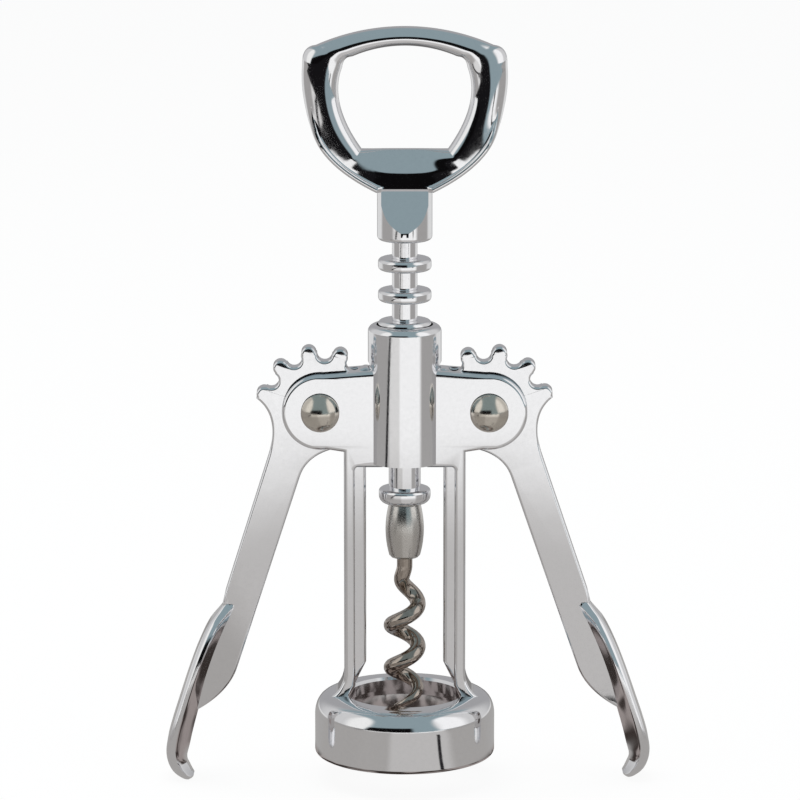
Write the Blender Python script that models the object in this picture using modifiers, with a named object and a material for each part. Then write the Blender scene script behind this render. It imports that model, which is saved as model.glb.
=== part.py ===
"""Wing corkscrew with a crown-cap opener in its handle.

Metres, +Z up. The screw's axis is the Z axis, the levers swing in the XZ plane, and the front is -Y.
Heights are written from the foot of the bell. The levers hang a little below it, so one empty lifts
the whole tool until their lowest points lie at z = 0.
"""
import math

import bmesh
import bpy
from mathutils import Matrix, Vector

FULL_TURN = 2 * math.pi
QUARTER_TURN = math.pi / 2

# Gaps and cuts
SEAT_GAP = 0.0003  # between two pieces that touch on the real tool
OVERRUN = 0.003  # how far a cutter runs past the face that it opens
OVERLAP = 0.0004  # how far a joined shape reaches into its neighbour
WELD = 0.000002

# Gear train: a round rack on the stem and a toothed head on each lever
RACK_PITCH = 0.00725
PITCH_LINE_OUT = 0.00625  # from the screw's axis to the rack's pitch line
TEETH_IN_FULL_TURN = 11.5  # spacing only: each lever has a sector of seven
TOOTH_COUNT = 7
TOOTH_ADDENDUM = 0.0020
TOOTH_WIDTH = 0.0035
TOOTH_VALLEY_WIDTH = 0.0035
TOOTH_DEPTH = 0.0037
TOOTH_ARC_STEPS = 5
TOOTH_ANGLE = FULL_TURN / TEETH_IN_FULL_TURN
FIRST_TOOTH_TURN = math.radians(84)  # from the arm's direction, on the stem's side
PITCH_RADIUS = RACK_PITCH / TOOTH_ANGLE
TIP_RADIUS = PITCH_RADIUS + TOOTH_ADDENDUM
ROOT_RADIUS = TIP_RADIUS - TOOTH_DEPTH

# Lever pivots
PIVOT_OUT = PITCH_LINE_OUT + PITCH_RADIUS
PIVOT_UP = 0.082
PIVOT_PIN_RADIUS = 0.0024
LEVER_LEAN = math.radians(18.55)  # of the arms from the vertical, at rest
LEVER_PLAY = math.radians(0.55)  # the right arm leans more and the left less, within the play

# Lever: a flat arm with a gear head and a thumb paddle
LEVER_THICKNESS = 0.0042
LEVER_EDGE = 0.0006
ARM_OUTER = 0.0081  # the arm's outer side, from the line through the pivot
ARM_INNER = 0.0003  # the arm's inner side, on the other side of that line
ARM_TAPER = 0.0003  # how much narrower the outer side is at the paddle
ARM_START = 0.015  # where the straight sides start, below the pivot
NECK_CORNER_DROP = 0.0042
EAR_TURN = math.radians(40)  # where the outermost tooth's round side runs out into the ear
EAR_DROP = 0.0019  # the lowest point of the outermost tooth, below the pivot
EAR_OUT = 0.0149
THROAT_START = 0.0165
THROAT_CORNER_DROP = 0.0100
THROAT_DROP = 0.0062
THROAT_IN = 0.0085
PADDLE_START = 0.048  # below the pivot, along the arm
PADDLE_LENGTH = 0.0445
PADDLE_OUT = 0.0085  # the paddle's edge line, from the line through the pivot
PADDLE_DEPTH = 0.0116
PADDLE_CROWN = 0.0017
PADDLE_SPINE = 0.0030
WEB_HEEL = 0.0645  # where the web starts to run out on the inner side
WEB_END = 0.0772
WEB_END_OUT = 0.0071

# Rivets through cheeks and levers
RIVET_HEAD_RADIUS = 0.00445
RIVET_HEAD_HEIGHT = 0.0025
RIVET_RIM = 0.0004
CAP_SOCKET_DEPTH = 0.0012

# Frame: bell, legs, ribs, cheeks and barrel, one casting
FRAME_DEPTH = 0.0090
FRAME_EDGE = 0.0009
SLOT_WIDTH = 0.0048  # between a pair of cheeks
SLOT_CLEARANCE = 0.0006  # around the sweep of the teeth
EAR_RADIUS = 0.00885
CHEEK_TAPER = math.radians(4.5)
CHEEK_FOOT_TAPER = math.radians(9)
ARCH_DROP = 0.0130  # below the pivots
ARCH_UP = PIVOT_UP - ARCH_DROP
ARCH_CORNER = 0.0007
LEG_OUTER = 0.0141
LEG_INNER = 0.0115
RIB_INNER = 0.0090
RIB_DEPTH = 0.0060
RIB_EDGE = 0.0010
RIB_CUT_TOP = 0.0222
RIB_CUT_BOTTOM = 0.0168
LEG_FLARE_START = 0.0205
LEG_FLARE_OUT = 0.0190
LEG_FLARE_UP = 0.0132
LEG_FLARE_CORNER_UP = 0.0150
LEG_FOOT_UP = 0.0104  # the foot's lower end, inside the bell's wall
LEG_FOOT_OUT = 0.0192
LEG_FOOT_IN = 0.0157
LEG_HEEL_IN = 0.0137
BARREL_RADIUS = 0.0085
BARREL_BORE_RADIUS = 0.00655
BARREL_DROP = 0.0122  # below the pivots
BARREL_RISE = 0.0200  # above the pivots
BARREL_BOTTOM = PIVOT_UP - BARREL_DROP
BARREL_TOP = PIVOT_UP + BARREL_RISE
BARREL_TOP_EDGE = 0.0016
BARREL_BOTTOM_EDGE = 0.0004
BELL_RADIUS = 0.0210
BELL_SIDE = 0.0103
BELL_HEIGHT = 0.01425
BELL_RIM_RADIUS = 0.0156
BELL_MOUTH_RADIUS = 0.0132
BELL_MOUTH_LIP = 0.0006
BELL_FOOT_EDGE = 0.0006
BELL_STEP_RADIUS = 0.0150
BELL_STEP_UP = 0.0112
SEAT_RADIUS = 0.0168  # the bore that takes the bottle's neck
SEAT_DEPTH = 0.0096

# Handle: opener bow and socket
SOCKET_RADIUS = 0.00635
SOCKET_RISE = 0.0398  # above the pivots
SOCKET_BOTTOM = PIVOT_UP + SOCKET_RISE
SOCKET_EDGE = 0.0010
NECK_RISE = 0.0114  # above the socket's bottom, as the next heights of the handle are
NECK_UP = SOCKET_BOTTOM + NECK_RISE
NECK_OUT = 0.0066
BOW_TOP = 0.1711
BOW_TOP_RADIUS = 0.0500
BOW_CORNER_OUT = 0.0203
BOW_CORNER_TIP_OUT = 0.0236
BOW_SIDE_OUT = 0.0234
BOW_SIDE_BULGE_OUT = 0.0241
BOW_HIP_OUT = 0.0209
BOW_LOWER_OUT = 0.0178
BOW_DEPTH = 0.0080  # at the crest of the limbs
BEAD_WIDTH = 0.0017
RECESS_DEPTH = 0.0009  # of the sunk face under the bead, at the neck
HOLE_TOP_RADIUS = 0.0300
HOLE_CORNER_OUT = 0.0120
HOLE_CORNER_TIP = 0.0140
HOLE_SIDE_OUT = 0.0143
HOLE_BULGE_OUT = 0.0174
HOLE_FLOOR_OUT = 0.0099
LIP_THICKNESS = 0.0023  # at the edge that takes the crown cap
LIP_DROP = 0.0053
LIP_ROOT_FALL = 0.00045  # how far the face leans back between the crease and the lip
TONGUE_TOP_RISE = 0.0122
TONGUE_TOP = SOCKET_BOTTOM + TONGUE_TOP_RISE
TONGUE_OUT = 0.0054
TONGUE_BEND_RISE = 0.0072
TONGUE_BEND_UP = SOCKET_BOTTOM + TONGUE_BEND_RISE
TONGUE_BEND_DEPTH = 0.0045
TONGUE_BOTTOM_RISE = 0.0021
TONGUE_BOTTOM = SOCKET_BOTTOM + TONGUE_BOTTOM_RISE
# Heights on the bow and its hole, as shares of the way from the neck to the bow's top
BOW_MIDDLE_SHARE = 0.562
BOW_CORNER_TIP_SHARE = 0.879
BOW_SIDE_TOP_SHARE = 0.768
BOW_SIDE_BULGE_SHARE = 0.575
BOW_HIP_SHARE = 0.340
BOW_LOWER_SHARE = 0.145
HOLE_TOP_SHARE = 0.884
HOLE_SIDE_TOP_SHARE = 0.752
HOLE_BULGE_SHARE = 0.536
HOLE_FLOOR_SHARE = 0.256
# The section of a limb, from its outer wall to the hole: where its crest is, and how it rounds
CREST_SHARE = 0.58
OUTER_ROUND = 2.2
INNER_ROUND = 3.0
BEAD_WALL_SHARE = 0.4  # of the limb, which the bead's width never passes
BEAD_STEP_SHARES = (0.06, 0.30, 0.70, 0.94, 1.15)
STEM_SEAT_RISE = 0.0082  # top of the stem inside the socket
STEM_SEAT_UP = SOCKET_BOTTOM + STEM_SEAT_RISE

# Rack stem
STEM_RADIUS = 0.00293
RING_RADIUS = 0.00615
RING_THICKNESS = 0.0028
RING_EDGE = 0.0007
SHANK_RADIUS = 0.0037
SHANK_TOP_DROP = 0.0030  # below the lowest ring's centre
COLLAR_DROP = 0.0204  # below the pivots
COLLAR_UP = PIVOT_UP - COLLAR_DROP
COLLAR_RADIUS = 0.0060
COLLAR_THICKNESS = 0.0036
COLLAR_TOP_EDGE = 0.0008
SPIGOT_RADIUS = 0.0022
SPIGOT_LENGTH = 0.0090

# Ferrule and worm
FERRULE_LENGTH = 0.0126
FERRULE_TOP_RADIUS = 0.0037
FERRULE_RADIUS = 0.00445
FERRULE_FOOT_RADIUS = 0.0036
FERRULE_EDGE = 0.0005
WIRE_RADIUS = 0.0018
COIL_RADIUS = 0.0031  # of the worm's centre line
COIL_PITCH = 0.0102
COIL_LEAD_IN = 0.0095
COIL_NECK = 0.0019  # of straight wire between the ferrule and the lead-in
COIL_TOP = (COLLAR_UP - COLLAR_THICKNESS / 2 - SEAT_GAP - FERRULE_LENGTH
            - COIL_NECK - COIL_LEAD_IN)  # where the first full turn passes +X
COIL_LEAD_IN_TURN = 0.6
COIL_LEAD_IN_STEP_SHARE = 0.75  # of the points in one turn
COIL_END = 0.0105
WORM_POINT_LENGTH = 0.0075
WORM_POINT_SHARE = 0.06  # of the wire's thickness, left at the very point
COIL_STEP_COUNT = 20  # points in one turn
WORM_SHANK_STEP = 0.0016

# Facets round turned shapes
BELL_STEPS = 48
BARREL_STEPS = 32
STEM_STEPS = 20
BOW_STEPS = 22  # sections on each half of the bow
FACE_STEPS = 6  # from the bead to the hole
RIVET_STEPS = 20

for leftover in list(bpy.data.objects):
    bpy.data.objects.remove(leftover)

parts = bpy.data.collections.new("wing_corkscrew")
cutters = bpy.data.collections.new("cutters")
bpy.context.scene.collection.children.link(parts)
bpy.context.scene.collection.children.link(cutters)
stand = bpy.data.objects.new("stand", None)
parts.objects.link(stand)


def metal(name, colour, roughness):
    """A bare metal finish."""
    material = bpy.data.materials.new(name)
    material.use_nodes = True
    shader = material.node_tree.nodes["Principled BSDF"]
    shader.inputs["Base Color"].default_value = (*colour, 1)
    shader.inputs["Metallic"].default_value = 1
    shader.inputs["Roughness"].default_value = roughness
    return material


CHROME = metal("chrome_plate", (0.80, 0.81, 0.82), 0.08)
STEEL = metal("drawn_steel", (0.42, 0.39, 0.37), 0.28)
NICKEL = metal("nickel_plate", (0.66, 0.62, 0.57), 0.18)


def arc(centre, radius, start, end, steps):
    """Points on a circle from one angle to another, both ends included."""
    points = []
    for step in range(steps + 1):
        angle = start + (end - start) * step / steps
        points.append((centre[0] + radius * math.cos(angle), centre[1] + radius * math.sin(angle)))
    return points


def bend(start, corner, end, steps):
    """Points of a smooth curve that leaves start towards corner and reaches end from it."""
    points = []
    for step in range(steps + 1):
        share = step / steps
        weights = ((1 - share) ** 2, 2 * share * (1 - share), share ** 2)
        points.append(tuple(
            sum(weight * point[axis] for weight, point in zip(weights, (start, corner, end)))
            for axis in range(2)))
    return points


def mirrored(half):
    """A closed outline from its right half, which starts and ends next to the middle line."""
    return half + [(-across, up) for across, up in reversed(half)]


def place(mesh, name, material=None):
    """An object in the parts, or in the cutters where it has no material of its own."""
    thing = bpy.data.objects.new(name, mesh)
    thing.parent = stand
    if material is None:
        cutters.objects.link(thing)
        thing.hide_render = True
        thing.display_type = 'WIRE'
    else:
        parts.objects.link(thing)
        mesh.materials.append(material)
    return thing


def finish_mesh(shape, name):
    """A mesh from a bmesh, welded and with its faces pointing out."""
    bmesh.ops.remove_doubles(shape, verts=shape.verts, dist=WELD)
    bmesh.ops.recalc_face_normals(shape, faces=shape.faces)
    mesh = bpy.data.meshes.new(name)
    shape.to_mesh(mesh)
    shape.free()
    return mesh


def clockwise(outline):
    """The outline's points in clockwise order."""
    area = sum(first[0] * second[1] - second[0] * first[1]
               for first, second in zip(outline, outline[1:] + outline[:1]))
    return outline[::-1] if area > 0 else outline


def plate(name, depth, outline, hole=None, material=None, edge=0, edge_steps=1):
    """A flat plate that stands in the XZ plane, its depth along Y, with rounded edges."""
    curve = bpy.data.curves.new(name, 'CURVE')
    curve.dimensions = '2D'
    curve.fill_mode = 'BOTH'
    curve.extrude = depth / 2 - edge
    curve.bevel_depth = edge
    curve.bevel_resolution = edge_steps
    curve.offset = -edge
    outlines = [clockwise(outline)]
    if hole:
        outlines.append(clockwise(hole)[::-1])
    for points in outlines:
        spline = curve.splines.new('POLY')
        spline.points.add(len(points) - 1)
        for spline_point, (across, up) in zip(spline.points, points):
            spline_point.co = (across, up, 0, 1)
        spline.use_cyclic_u = True
    flat = bpy.data.objects.new(name + "_outline", curve)
    parts.objects.link(flat)
    evaluated = flat.evaluated_get(bpy.context.evaluated_depsgraph_get())
    shape = bmesh.new()
    shape.from_mesh(bpy.data.meshes.new_from_object(evaluated))
    bpy.data.objects.remove(flat)
    shape.transform(Matrix.Rotation(QUARTER_TURN, 4, 'X'))
    return place(finish_mesh(shape, name), name, material)


def turned(name, profile, steps, material=None, closed=False):
    """A turned shape about Z. Its profile runs down the outer side."""
    shape = bmesh.new()
    points = [shape.verts.new((radius, 0, up)) for radius, up in profile]
    for first, second in zip(points, points[1:]):
        shape.edges.new((first, second))
    if closed:
        shape.edges.new((points[-1], points[0]))
    mesh = bpy.data.meshes.new(name)
    shape.to_mesh(mesh)
    shape.free()
    thing = place(mesh, name, material)
    screw = thing.modifiers.new("turn", 'SCREW')
    screw.steps = steps
    screw.render_steps = steps
    screw.use_merge_vertices = True
    screw.merge_threshold = WELD
    return thing


def rod(name, radius, length, steps, material=None):
    """A plain round bar along Y, centred on its own origin."""
    shape = bmesh.new()
    bmesh.ops.create_cone(shape, cap_ends=True, segments=steps, radius1=radius, radius2=radius,
                          depth=length)
    shape.transform(Matrix.Rotation(QUARTER_TURN, 4, 'X'))
    return place(finish_mesh(shape, name), name, material)


def loft(name, sections):
    """A closed body through a row of closed sections with equally many points."""
    shape = bmesh.new()
    rings = [[shape.verts.new(point) for point in section] for section in sections]
    count = len(rings[0])
    for ring, following in zip(rings, rings[1:]):
        for index in range(count):
            beside = (index + 1) % count
            shape.faces.new((ring[index], ring[beside], following[beside], following[index]))
    shape.faces.new(rings[0])
    shape.faces.new(rings[-1])
    return place(finish_mesh(shape, name), name)


def hoop(rings):
    """A bmesh through a closed row of closed sections with equally many points."""
    shape = bmesh.new()
    rows = [[shape.verts.new(point) for point in ring] for ring in rings]
    count = len(rows[0])
    for row, following in zip(rows, rows[1:] + rows[:1]):
        for index in range(count):
            beside = (index + 1) % count
            shape.faces.new((row[index], row[beside], following[beside], following[index]))
    return shape


def wedge(name, corners, half_width):
    """A prism along X from (depth, up) corners in the YZ plane."""
    sections = [[(across, depth, up) for depth, up in corners] for across in (-half_width, half_width)]
    return loft(name, sections)


def combine(thing, operation, tools):
    """Join each tool to the thing ('UNION') or cut it out ('DIFFERENCE')."""
    for tool in tools:
        step = thing.modifiers.new(tool.name, 'BOOLEAN')
        step.operation = operation
        step.object = tool


def smooth(thing, angle=math.radians(32)):
    """Smooth shading that keeps the sharp edges."""
    thing.data.shade_smooth()
    thing.data.set_sharp_from_angle(angle=angle)


# Levers. Lever sizes run down the arm from the pivot, and out, away from the stem.
# The gear head: seven round teeth, evenly spread over the half turn above the pivot.
def gear_edge():
    """(out, down) points of teeth and valleys, from the stem's side round to the outer ear."""
    points = []
    tip_centre = TIP_RADIUS - TOOTH_WIDTH / 2
    valley_centre = ROOT_RADIUS + TOOTH_VALLEY_WIDTH / 2
    for tooth in range(TOOTH_COUNT):
        turn = FIRST_TOOTH_TURN + tooth * TOOTH_ANGLE
        centre = (-tip_centre * math.sin(turn), tip_centre * math.cos(turn))
        heading = math.atan2(centre[1], centre[0])
        outermost = tooth == TOOTH_COUNT - 1
        points += arc(centre, TOOTH_WIDTH / 2, heading - QUARTER_TURN,
                      heading + (EAR_TURN if outermost else QUARTER_TURN), TOOTH_ARC_STEPS)
        if not outermost:
            turn += TOOTH_ANGLE / 2
            centre = (-valley_centre * math.sin(turn), valley_centre * math.cos(turn))
            inward = math.atan2(centre[1], centre[0]) - math.pi
            points += arc(centre, TOOTH_VALLEY_WIDTH / 2, inward + QUARTER_TURN,
                          inward - QUARTER_TURN, TOOTH_ARC_STEPS)
    return points


def lever_outline():
    """(out, down) points of the lever's flat part: head, arm and the web behind the paddle."""
    root_turn = FIRST_TOOTH_TURN - TOOTH_ANGLE / 2
    first_root = (-ROOT_RADIUS * math.sin(root_turn), ROOT_RADIUS * math.cos(root_turn))
    arm_outer_end = ARM_OUTER - ARM_TAPER
    neck = bend((EAR_OUT, EAR_DROP), (ARM_OUTER, NECK_CORNER_DROP), (ARM_OUTER, ARM_START), 7)
    paddle_back = bend((arm_outer_end, PADDLE_START), (arm_outer_end - PADDLE_CROWN, WEB_HEEL),
                       (WEB_END_OUT, WEB_END), 5)
    heel = bend((PADDLE_OUT - PADDLE_SPINE, WEB_END), (-ARM_INNER, (WEB_HEEL + WEB_END) / 2),
                (-ARM_INNER, WEB_HEEL), 5)
    throat = bend((-ARM_INNER, THROAT_START), (-ARM_INNER, THROAT_CORNER_DROP),
                  (-THROAT_IN, THROAT_DROP), 5)
    return gear_edge() + neck + paddle_back + heel + throat + [first_root]


# Thumb paddle: its edge line leaves the middle of the arm, runs down the outer side and hooks in.
# Its face and its blunt end are flat across the middle, so that the tool can stand on both ends.
# Shares are of the paddle's length, its distance out, half its depth, its crown and its spine.
PADDLE_SHARES = (
    (0.00, 0.39, 0.33, 1.60, 0.60),
    (0.05, 0.57, 0.36, 1.20, 0.70),
    (0.12, 0.75, 0.56, 1.00, 0.80),
    (0.20, 0.89, 0.80, 1.00, 0.85),
    (0.33, 0.97, 0.96, 1.00, 0.85),
    (0.48, 1.00, 1.00, 1.00, 0.90),
    (0.63, 1.00, 1.00, 1.00, 1.05),
    (0.76, 0.985, 1.00, 1.05, 1.12),
    (0.855, 0.93, 1.00, 1.18, 1.15),
    (0.915, 0.82, 1.00, 1.28, 1.10),
    (0.96, 0.64, 0.98, 1.25, 0.92),
    (0.985, 0.44, 0.92, 1.05, 0.80),
    (1.00, 0.25, 0.76, 0.70, 0.50),
)
# Half a section of the paddle: shares of half its depth, then of its crown (up) or spine (down)
CROWN_SECTION_SHARES = ((0.0, 1.00), (0.64, 1.00), (0.86, 0.74), (0.97, 0.28))
SPINE_SECTION_SHARES = ((1.00, -0.04), (0.90, -0.22), (0.50, -0.72), (0.30, -1.00))


def paddle_sections(side):
    """Closed sections across the paddle, each square to its edge line."""
    line = [Vector((out_share * PADDLE_OUT, PADDLE_START + down_share * PADDLE_LENGTH))
            for down_share, out_share, *_ in PADDLE_SHARES]
    sections = []
    for index, (_, _, depth_share, crown_share, spine_share) in enumerate(PADDLE_SHARES):
        before = line[max(index - 1, 0)]
        after = line[min(index + 1, len(line) - 1)]
        along = (after - before).normalized()
        outward = Vector((along.y, -along.x))
        front = []
        for across, rise in CROWN_SECTION_SHARES + SPINE_SECTION_SHARES:
            height = crown_share * PADDLE_CROWN if rise > 0 else spine_share * PADDLE_SPINE
            out, down = line[index] + outward * (rise * height)
            front.append((side * out, across * depth_share * PADDLE_DEPTH / 2, -down))
        back = [(x, -y, z) for x, y, z in reversed(front[1:])]
        sections.append(front + back)
    return sections


def make_lever(name, side):
    """One lever, with its own origin on the pivot and its arm pointing down -Z before it leans."""
    outline = [(side * out, -down) for out, down in lever_outline()]
    lever = plate(name, LEVER_THICKNESS, outline, material=CHROME, edge=LEVER_EDGE)
    paddle = loft(name + "_paddle", paddle_sections(side))
    hole = rod(name + "_pin_hole", PIVOT_PIN_RADIUS + SEAT_GAP, LEVER_THICKNESS + OVERRUN, RIVET_STEPS)
    combine(lever, 'UNION', [paddle])
    combine(lever, 'DIFFERENCE', [hole])
    for piece in (lever, paddle, hole):
        piece.location = (side * PIVOT_OUT, 0, PIVOT_UP)
        piece.rotation_euler.y = -side * LEVER_LEAN - LEVER_PLAY
    smooth(lever)
    return paddle


make_lever("lever_right", 1)
left_paddle = make_lever("lever_left", -1)


# Rivets: a domed front head with the pin, and a domed cap pressed on the pin behind.
def dome(radius, height, rim, top):
    """Profile of a domed head from its middle down to its rim, for a head whose crown is at top."""
    ball = (radius ** 2 + height ** 2) / (2 * height)
    spread = math.asin(radius / ball)
    crown = arc((0, top - ball), ball, QUARTER_TURN, QUARTER_TURN - spread, 5)
    crown[0] = (0, top)
    return crown + [(radius, top - height - rim)]


def make_rivet(name, side):
    """Rivet and rear cap on one pivot. Both are turned about Z and then laid along Y."""
    face = FRAME_DEPTH / 2 + SEAT_GAP
    crown = face + RIVET_RIM + RIVET_HEAD_HEIGHT
    pin_end = -face - CAP_SOCKET_DEPTH
    head = dome(RIVET_HEAD_RADIUS, RIVET_HEAD_HEIGHT, RIVET_RIM, crown)
    rivet_profile = head + [(PIVOT_PIN_RADIUS, face), (PIVOT_PIN_RADIUS, pin_end), (0, pin_end)]
    socket_radius = PIVOT_PIN_RADIUS + SEAT_GAP
    socket_floor = face + CAP_SOCKET_DEPTH + SEAT_GAP
    cap_profile = head + [(socket_radius, face), (socket_radius, socket_floor), (0, socket_floor)]
    rivet = turned("rivet_" + name, rivet_profile, RIVET_STEPS, NICKEL)
    cap = turned("rivet_cap_" + name, cap_profile, RIVET_STEPS, NICKEL)
    for piece, turn in ((rivet, QUARTER_TURN), (cap, -QUARTER_TURN)):
        piece.location = (side * PIVOT_OUT, 0, PIVOT_UP)
        piece.rotation_euler.x = turn
        smooth(piece)


make_rivet("right", 1)
make_rivet("left", -1)


# Frame. Cheeks, legs and arch are one plate. Ribs, barrel and bell are joined to it.
def slant_up(across):
    """Height of the slanting lower end of a leg's inner side and of its rib."""
    return RIB_CUT_BOTTOM - (across - LEG_INNER) * (RIB_CUT_TOP - RIB_CUT_BOTTOM) / (LEG_INNER - RIB_INNER)


def frame_outline():
    """Right half of the cheeks and legs, clockwise from the top of the barrel."""
    inside_barrel = BARREL_BORE_RADIUS
    ear = arc((PIVOT_OUT, PIVOT_UP), EAR_RADIUS, QUARTER_TURN + CHEEK_TAPER,
              -QUARTER_TURN - CHEEK_FOOT_TAPER, 18)
    reach = ear[0][0] - inside_barrel
    top_edge = (inside_barrel, ear[0][1] + reach * math.tan(CHEEK_TAPER))
    hip_drop = (ear[-1][0] - LEG_OUTER) * math.tan(CHEEK_FOOT_TAPER)
    hip = (LEG_OUTER, ear[-1][1] - hip_drop)
    foot = bend((LEG_OUTER, LEG_FLARE_START), (LEG_OUTER, LEG_FLARE_CORNER_UP),
                (LEG_FLARE_OUT, LEG_FLARE_UP), 6)
    arch_corner = arc((LEG_INNER - ARCH_CORNER, ARCH_UP - ARCH_CORNER), ARCH_CORNER, 0, QUARTER_TURN, 3)
    return ([top_edge] + ear + [hip] + foot
            + [(LEG_FOOT_OUT, LEG_FOOT_UP), (LEG_FOOT_IN, LEG_FOOT_UP),
               (LEG_HEEL_IN, slant_up(LEG_HEEL_IN)), (LEG_INNER, RIB_CUT_BOTTOM)]
            + arch_corner + [(inside_barrel, ARCH_UP)])


def rib_outline(side):
    """The rib inside a leg, with its slanting lower end."""
    root = (LEG_INNER + LEG_OUTER) / 2
    rib_top = ARCH_UP + OVERLAP + RIB_EDGE
    corners = ((root, slant_up(root) + OVERLAP), (RIB_INNER, RIB_CUT_TOP), (RIB_INNER, rib_top),
               (root, rib_top))
    return [(side * across, up) for across, up in corners]


def bell_profile():
    """Closed profile of the bell's wall: down the outside, up the stepped inside."""
    shoulder = bend((BELL_RIM_RADIUS, BELL_HEIGHT), (BELL_RADIUS - BELL_FOOT_EDGE, BELL_HEIGHT),
                    (BELL_RADIUS, BELL_SIDE), 6)
    return ([(BELL_MOUTH_RADIUS + BELL_MOUTH_LIP, BELL_HEIGHT)] + shoulder
            + [(BELL_RADIUS, BELL_FOOT_EDGE), (BELL_RADIUS - BELL_FOOT_EDGE, 0),
               (SEAT_RADIUS + BELL_FOOT_EDGE, 0), (SEAT_RADIUS, BELL_FOOT_EDGE),
               (SEAT_RADIUS, SEAT_DEPTH), (BELL_STEP_RADIUS, SEAT_DEPTH),
               (BELL_STEP_RADIUS, BELL_STEP_UP), (BELL_MOUTH_RADIUS, BELL_STEP_UP),
               (BELL_MOUTH_RADIUS, BELL_HEIGHT - BELL_MOUTH_LIP)])


def barrel_profile():
    """Solid profile of the barrel, with a round top edge."""
    top_edge = arc((BARREL_RADIUS - BARREL_TOP_EDGE, BARREL_TOP - BARREL_TOP_EDGE), BARREL_TOP_EDGE,
                   QUARTER_TURN, 0, 4)
    return ([(0, BARREL_TOP)] + top_edge
            + [(BARREL_RADIUS, BARREL_BOTTOM + BARREL_BOTTOM_EDGE),
               (BARREL_RADIUS - BARREL_BOTTOM_EDGE, BARREL_BOTTOM), (0, BARREL_BOTTOM)])


frame = plate("frame", FRAME_DEPTH, mirrored(frame_outline()), material=CHROME, edge=FRAME_EDGE)
combine(frame, 'UNION', [
    turned("barrel", barrel_profile(), BARREL_STEPS),
    turned("bell", bell_profile(), BELL_STEPS, closed=True),
    plate("rib_right", RIB_DEPTH, rib_outline(1), edge=RIB_EDGE),
    plate("rib_left", RIB_DEPTH, rib_outline(-1), edge=RIB_EDGE),
])
for side_name, side in (("right", 1), ("left", -1)):
    slot = rod("lever_slot_" + side_name, TIP_RADIUS + SLOT_CLEARANCE, SLOT_WIDTH, 56)
    pin_hole = rod("rivet_hole_" + side_name, PIVOT_PIN_RADIUS + SEAT_GAP, FRAME_DEPTH + OVERRUN,
                   RIVET_STEPS)
    for cutter in (slot, pin_hole):
        cutter.location = (side * PIVOT_OUT, 0, PIVOT_UP)
    combine(frame, 'DIFFERENCE', [slot, pin_hole])
bore_top = BARREL_TOP + OVERRUN
bore_bottom = BARREL_BOTTOM - OVERRUN
bore = turned("barrel_bore", [(0, bore_top), (BARREL_BORE_RADIUS, bore_top),
                              (BARREL_BORE_RADIUS, bore_bottom), (0, bore_bottom)], BARREL_STEPS)
combine(frame, 'DIFFERENCE', [bore])
smooth(frame)


# Rack stem: rings that mesh with the teeth, a plain shank, the stop collar and a hidden spigot.
def stem_profile():
    """Solid profile of the stem from its top in the socket down to the spigot's end."""
    lowest_turn = FIRST_TOOTH_TURN - QUARTER_TURN - LEVER_LEAN - TOOTH_ANGLE / 2
    ring_ups = [PIVOT_UP + PITCH_RADIUS * (lowest_turn + ring * TOOTH_ANGLE)
                for ring in range(TOOTH_COUNT)]
    half = RING_THICKNESS / 2
    profile = [(0, STEM_SEAT_UP), (STEM_RADIUS, STEM_SEAT_UP)]
    for up in reversed(ring_ups):
        profile += [(STEM_RADIUS, up + half), (RING_RADIUS - RING_EDGE, up + half),
                    (RING_RADIUS, up + half - RING_EDGE), (RING_RADIUS, up - half + RING_EDGE),
                    (RING_RADIUS - RING_EDGE, up - half), (STEM_RADIUS, up - half)]
    shank_top = ring_ups[0] - SHANK_TOP_DROP
    collar_round = COLLAR_THICKNESS / 2
    collar_top = COLLAR_UP + collar_round
    collar = (arc((COLLAR_RADIUS - COLLAR_TOP_EDGE, collar_top - COLLAR_TOP_EDGE), COLLAR_TOP_EDGE,
                  QUARTER_TURN, 0, 3)
              + arc((COLLAR_RADIUS - collar_round, COLLAR_UP), collar_round, 0, -QUARTER_TURN, 5))
    collar_bottom = COLLAR_UP - collar_round
    spigot_end = collar_bottom - SPIGOT_LENGTH
    return (profile + [(STEM_RADIUS, shank_top), (SHANK_RADIUS, shank_top)]
            + [(SHANK_RADIUS, collar_top)] + collar
            + [(SPIGOT_RADIUS, collar_bottom), (SPIGOT_RADIUS, spigot_end), (0, spigot_end)])


smooth(turned("rack_stem", stem_profile(), STEM_STEPS, CHROME))


# Ferrule: a barrel-shaped steel sleeve over the spigot and the worm's shank.
def ferrule_profile():
    """Closed profile: down the swelling outside, up the stepped bore."""
    top = COLLAR_UP - COLLAR_THICKNESS / 2 - SEAT_GAP
    bottom = top - FERRULE_LENGTH
    middle_radius = 2 * FERRULE_RADIUS - (FERRULE_TOP_RADIUS + FERRULE_FOOT_RADIUS) / 2
    swell = bend((FERRULE_TOP_RADIUS, top), (middle_radius, (top + bottom) / 2),
                 (FERRULE_FOOT_RADIUS, bottom + FERRULE_EDGE), 8)
    spigot_bore = SPIGOT_RADIUS + SEAT_GAP
    wire_bore = WIRE_RADIUS + SEAT_GAP
    step = COLLAR_UP - COLLAR_THICKNESS / 2 - SPIGOT_LENGTH - SEAT_GAP
    return swell + [(FERRULE_FOOT_RADIUS - FERRULE_EDGE, bottom), (wire_bore, bottom),
                    (wire_bore, step), (spigot_bore, step), (spigot_bore, top)]


smooth(turned("worm_ferrule", ferrule_profile(), STEM_STEPS, STEEL, closed=True))


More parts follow.
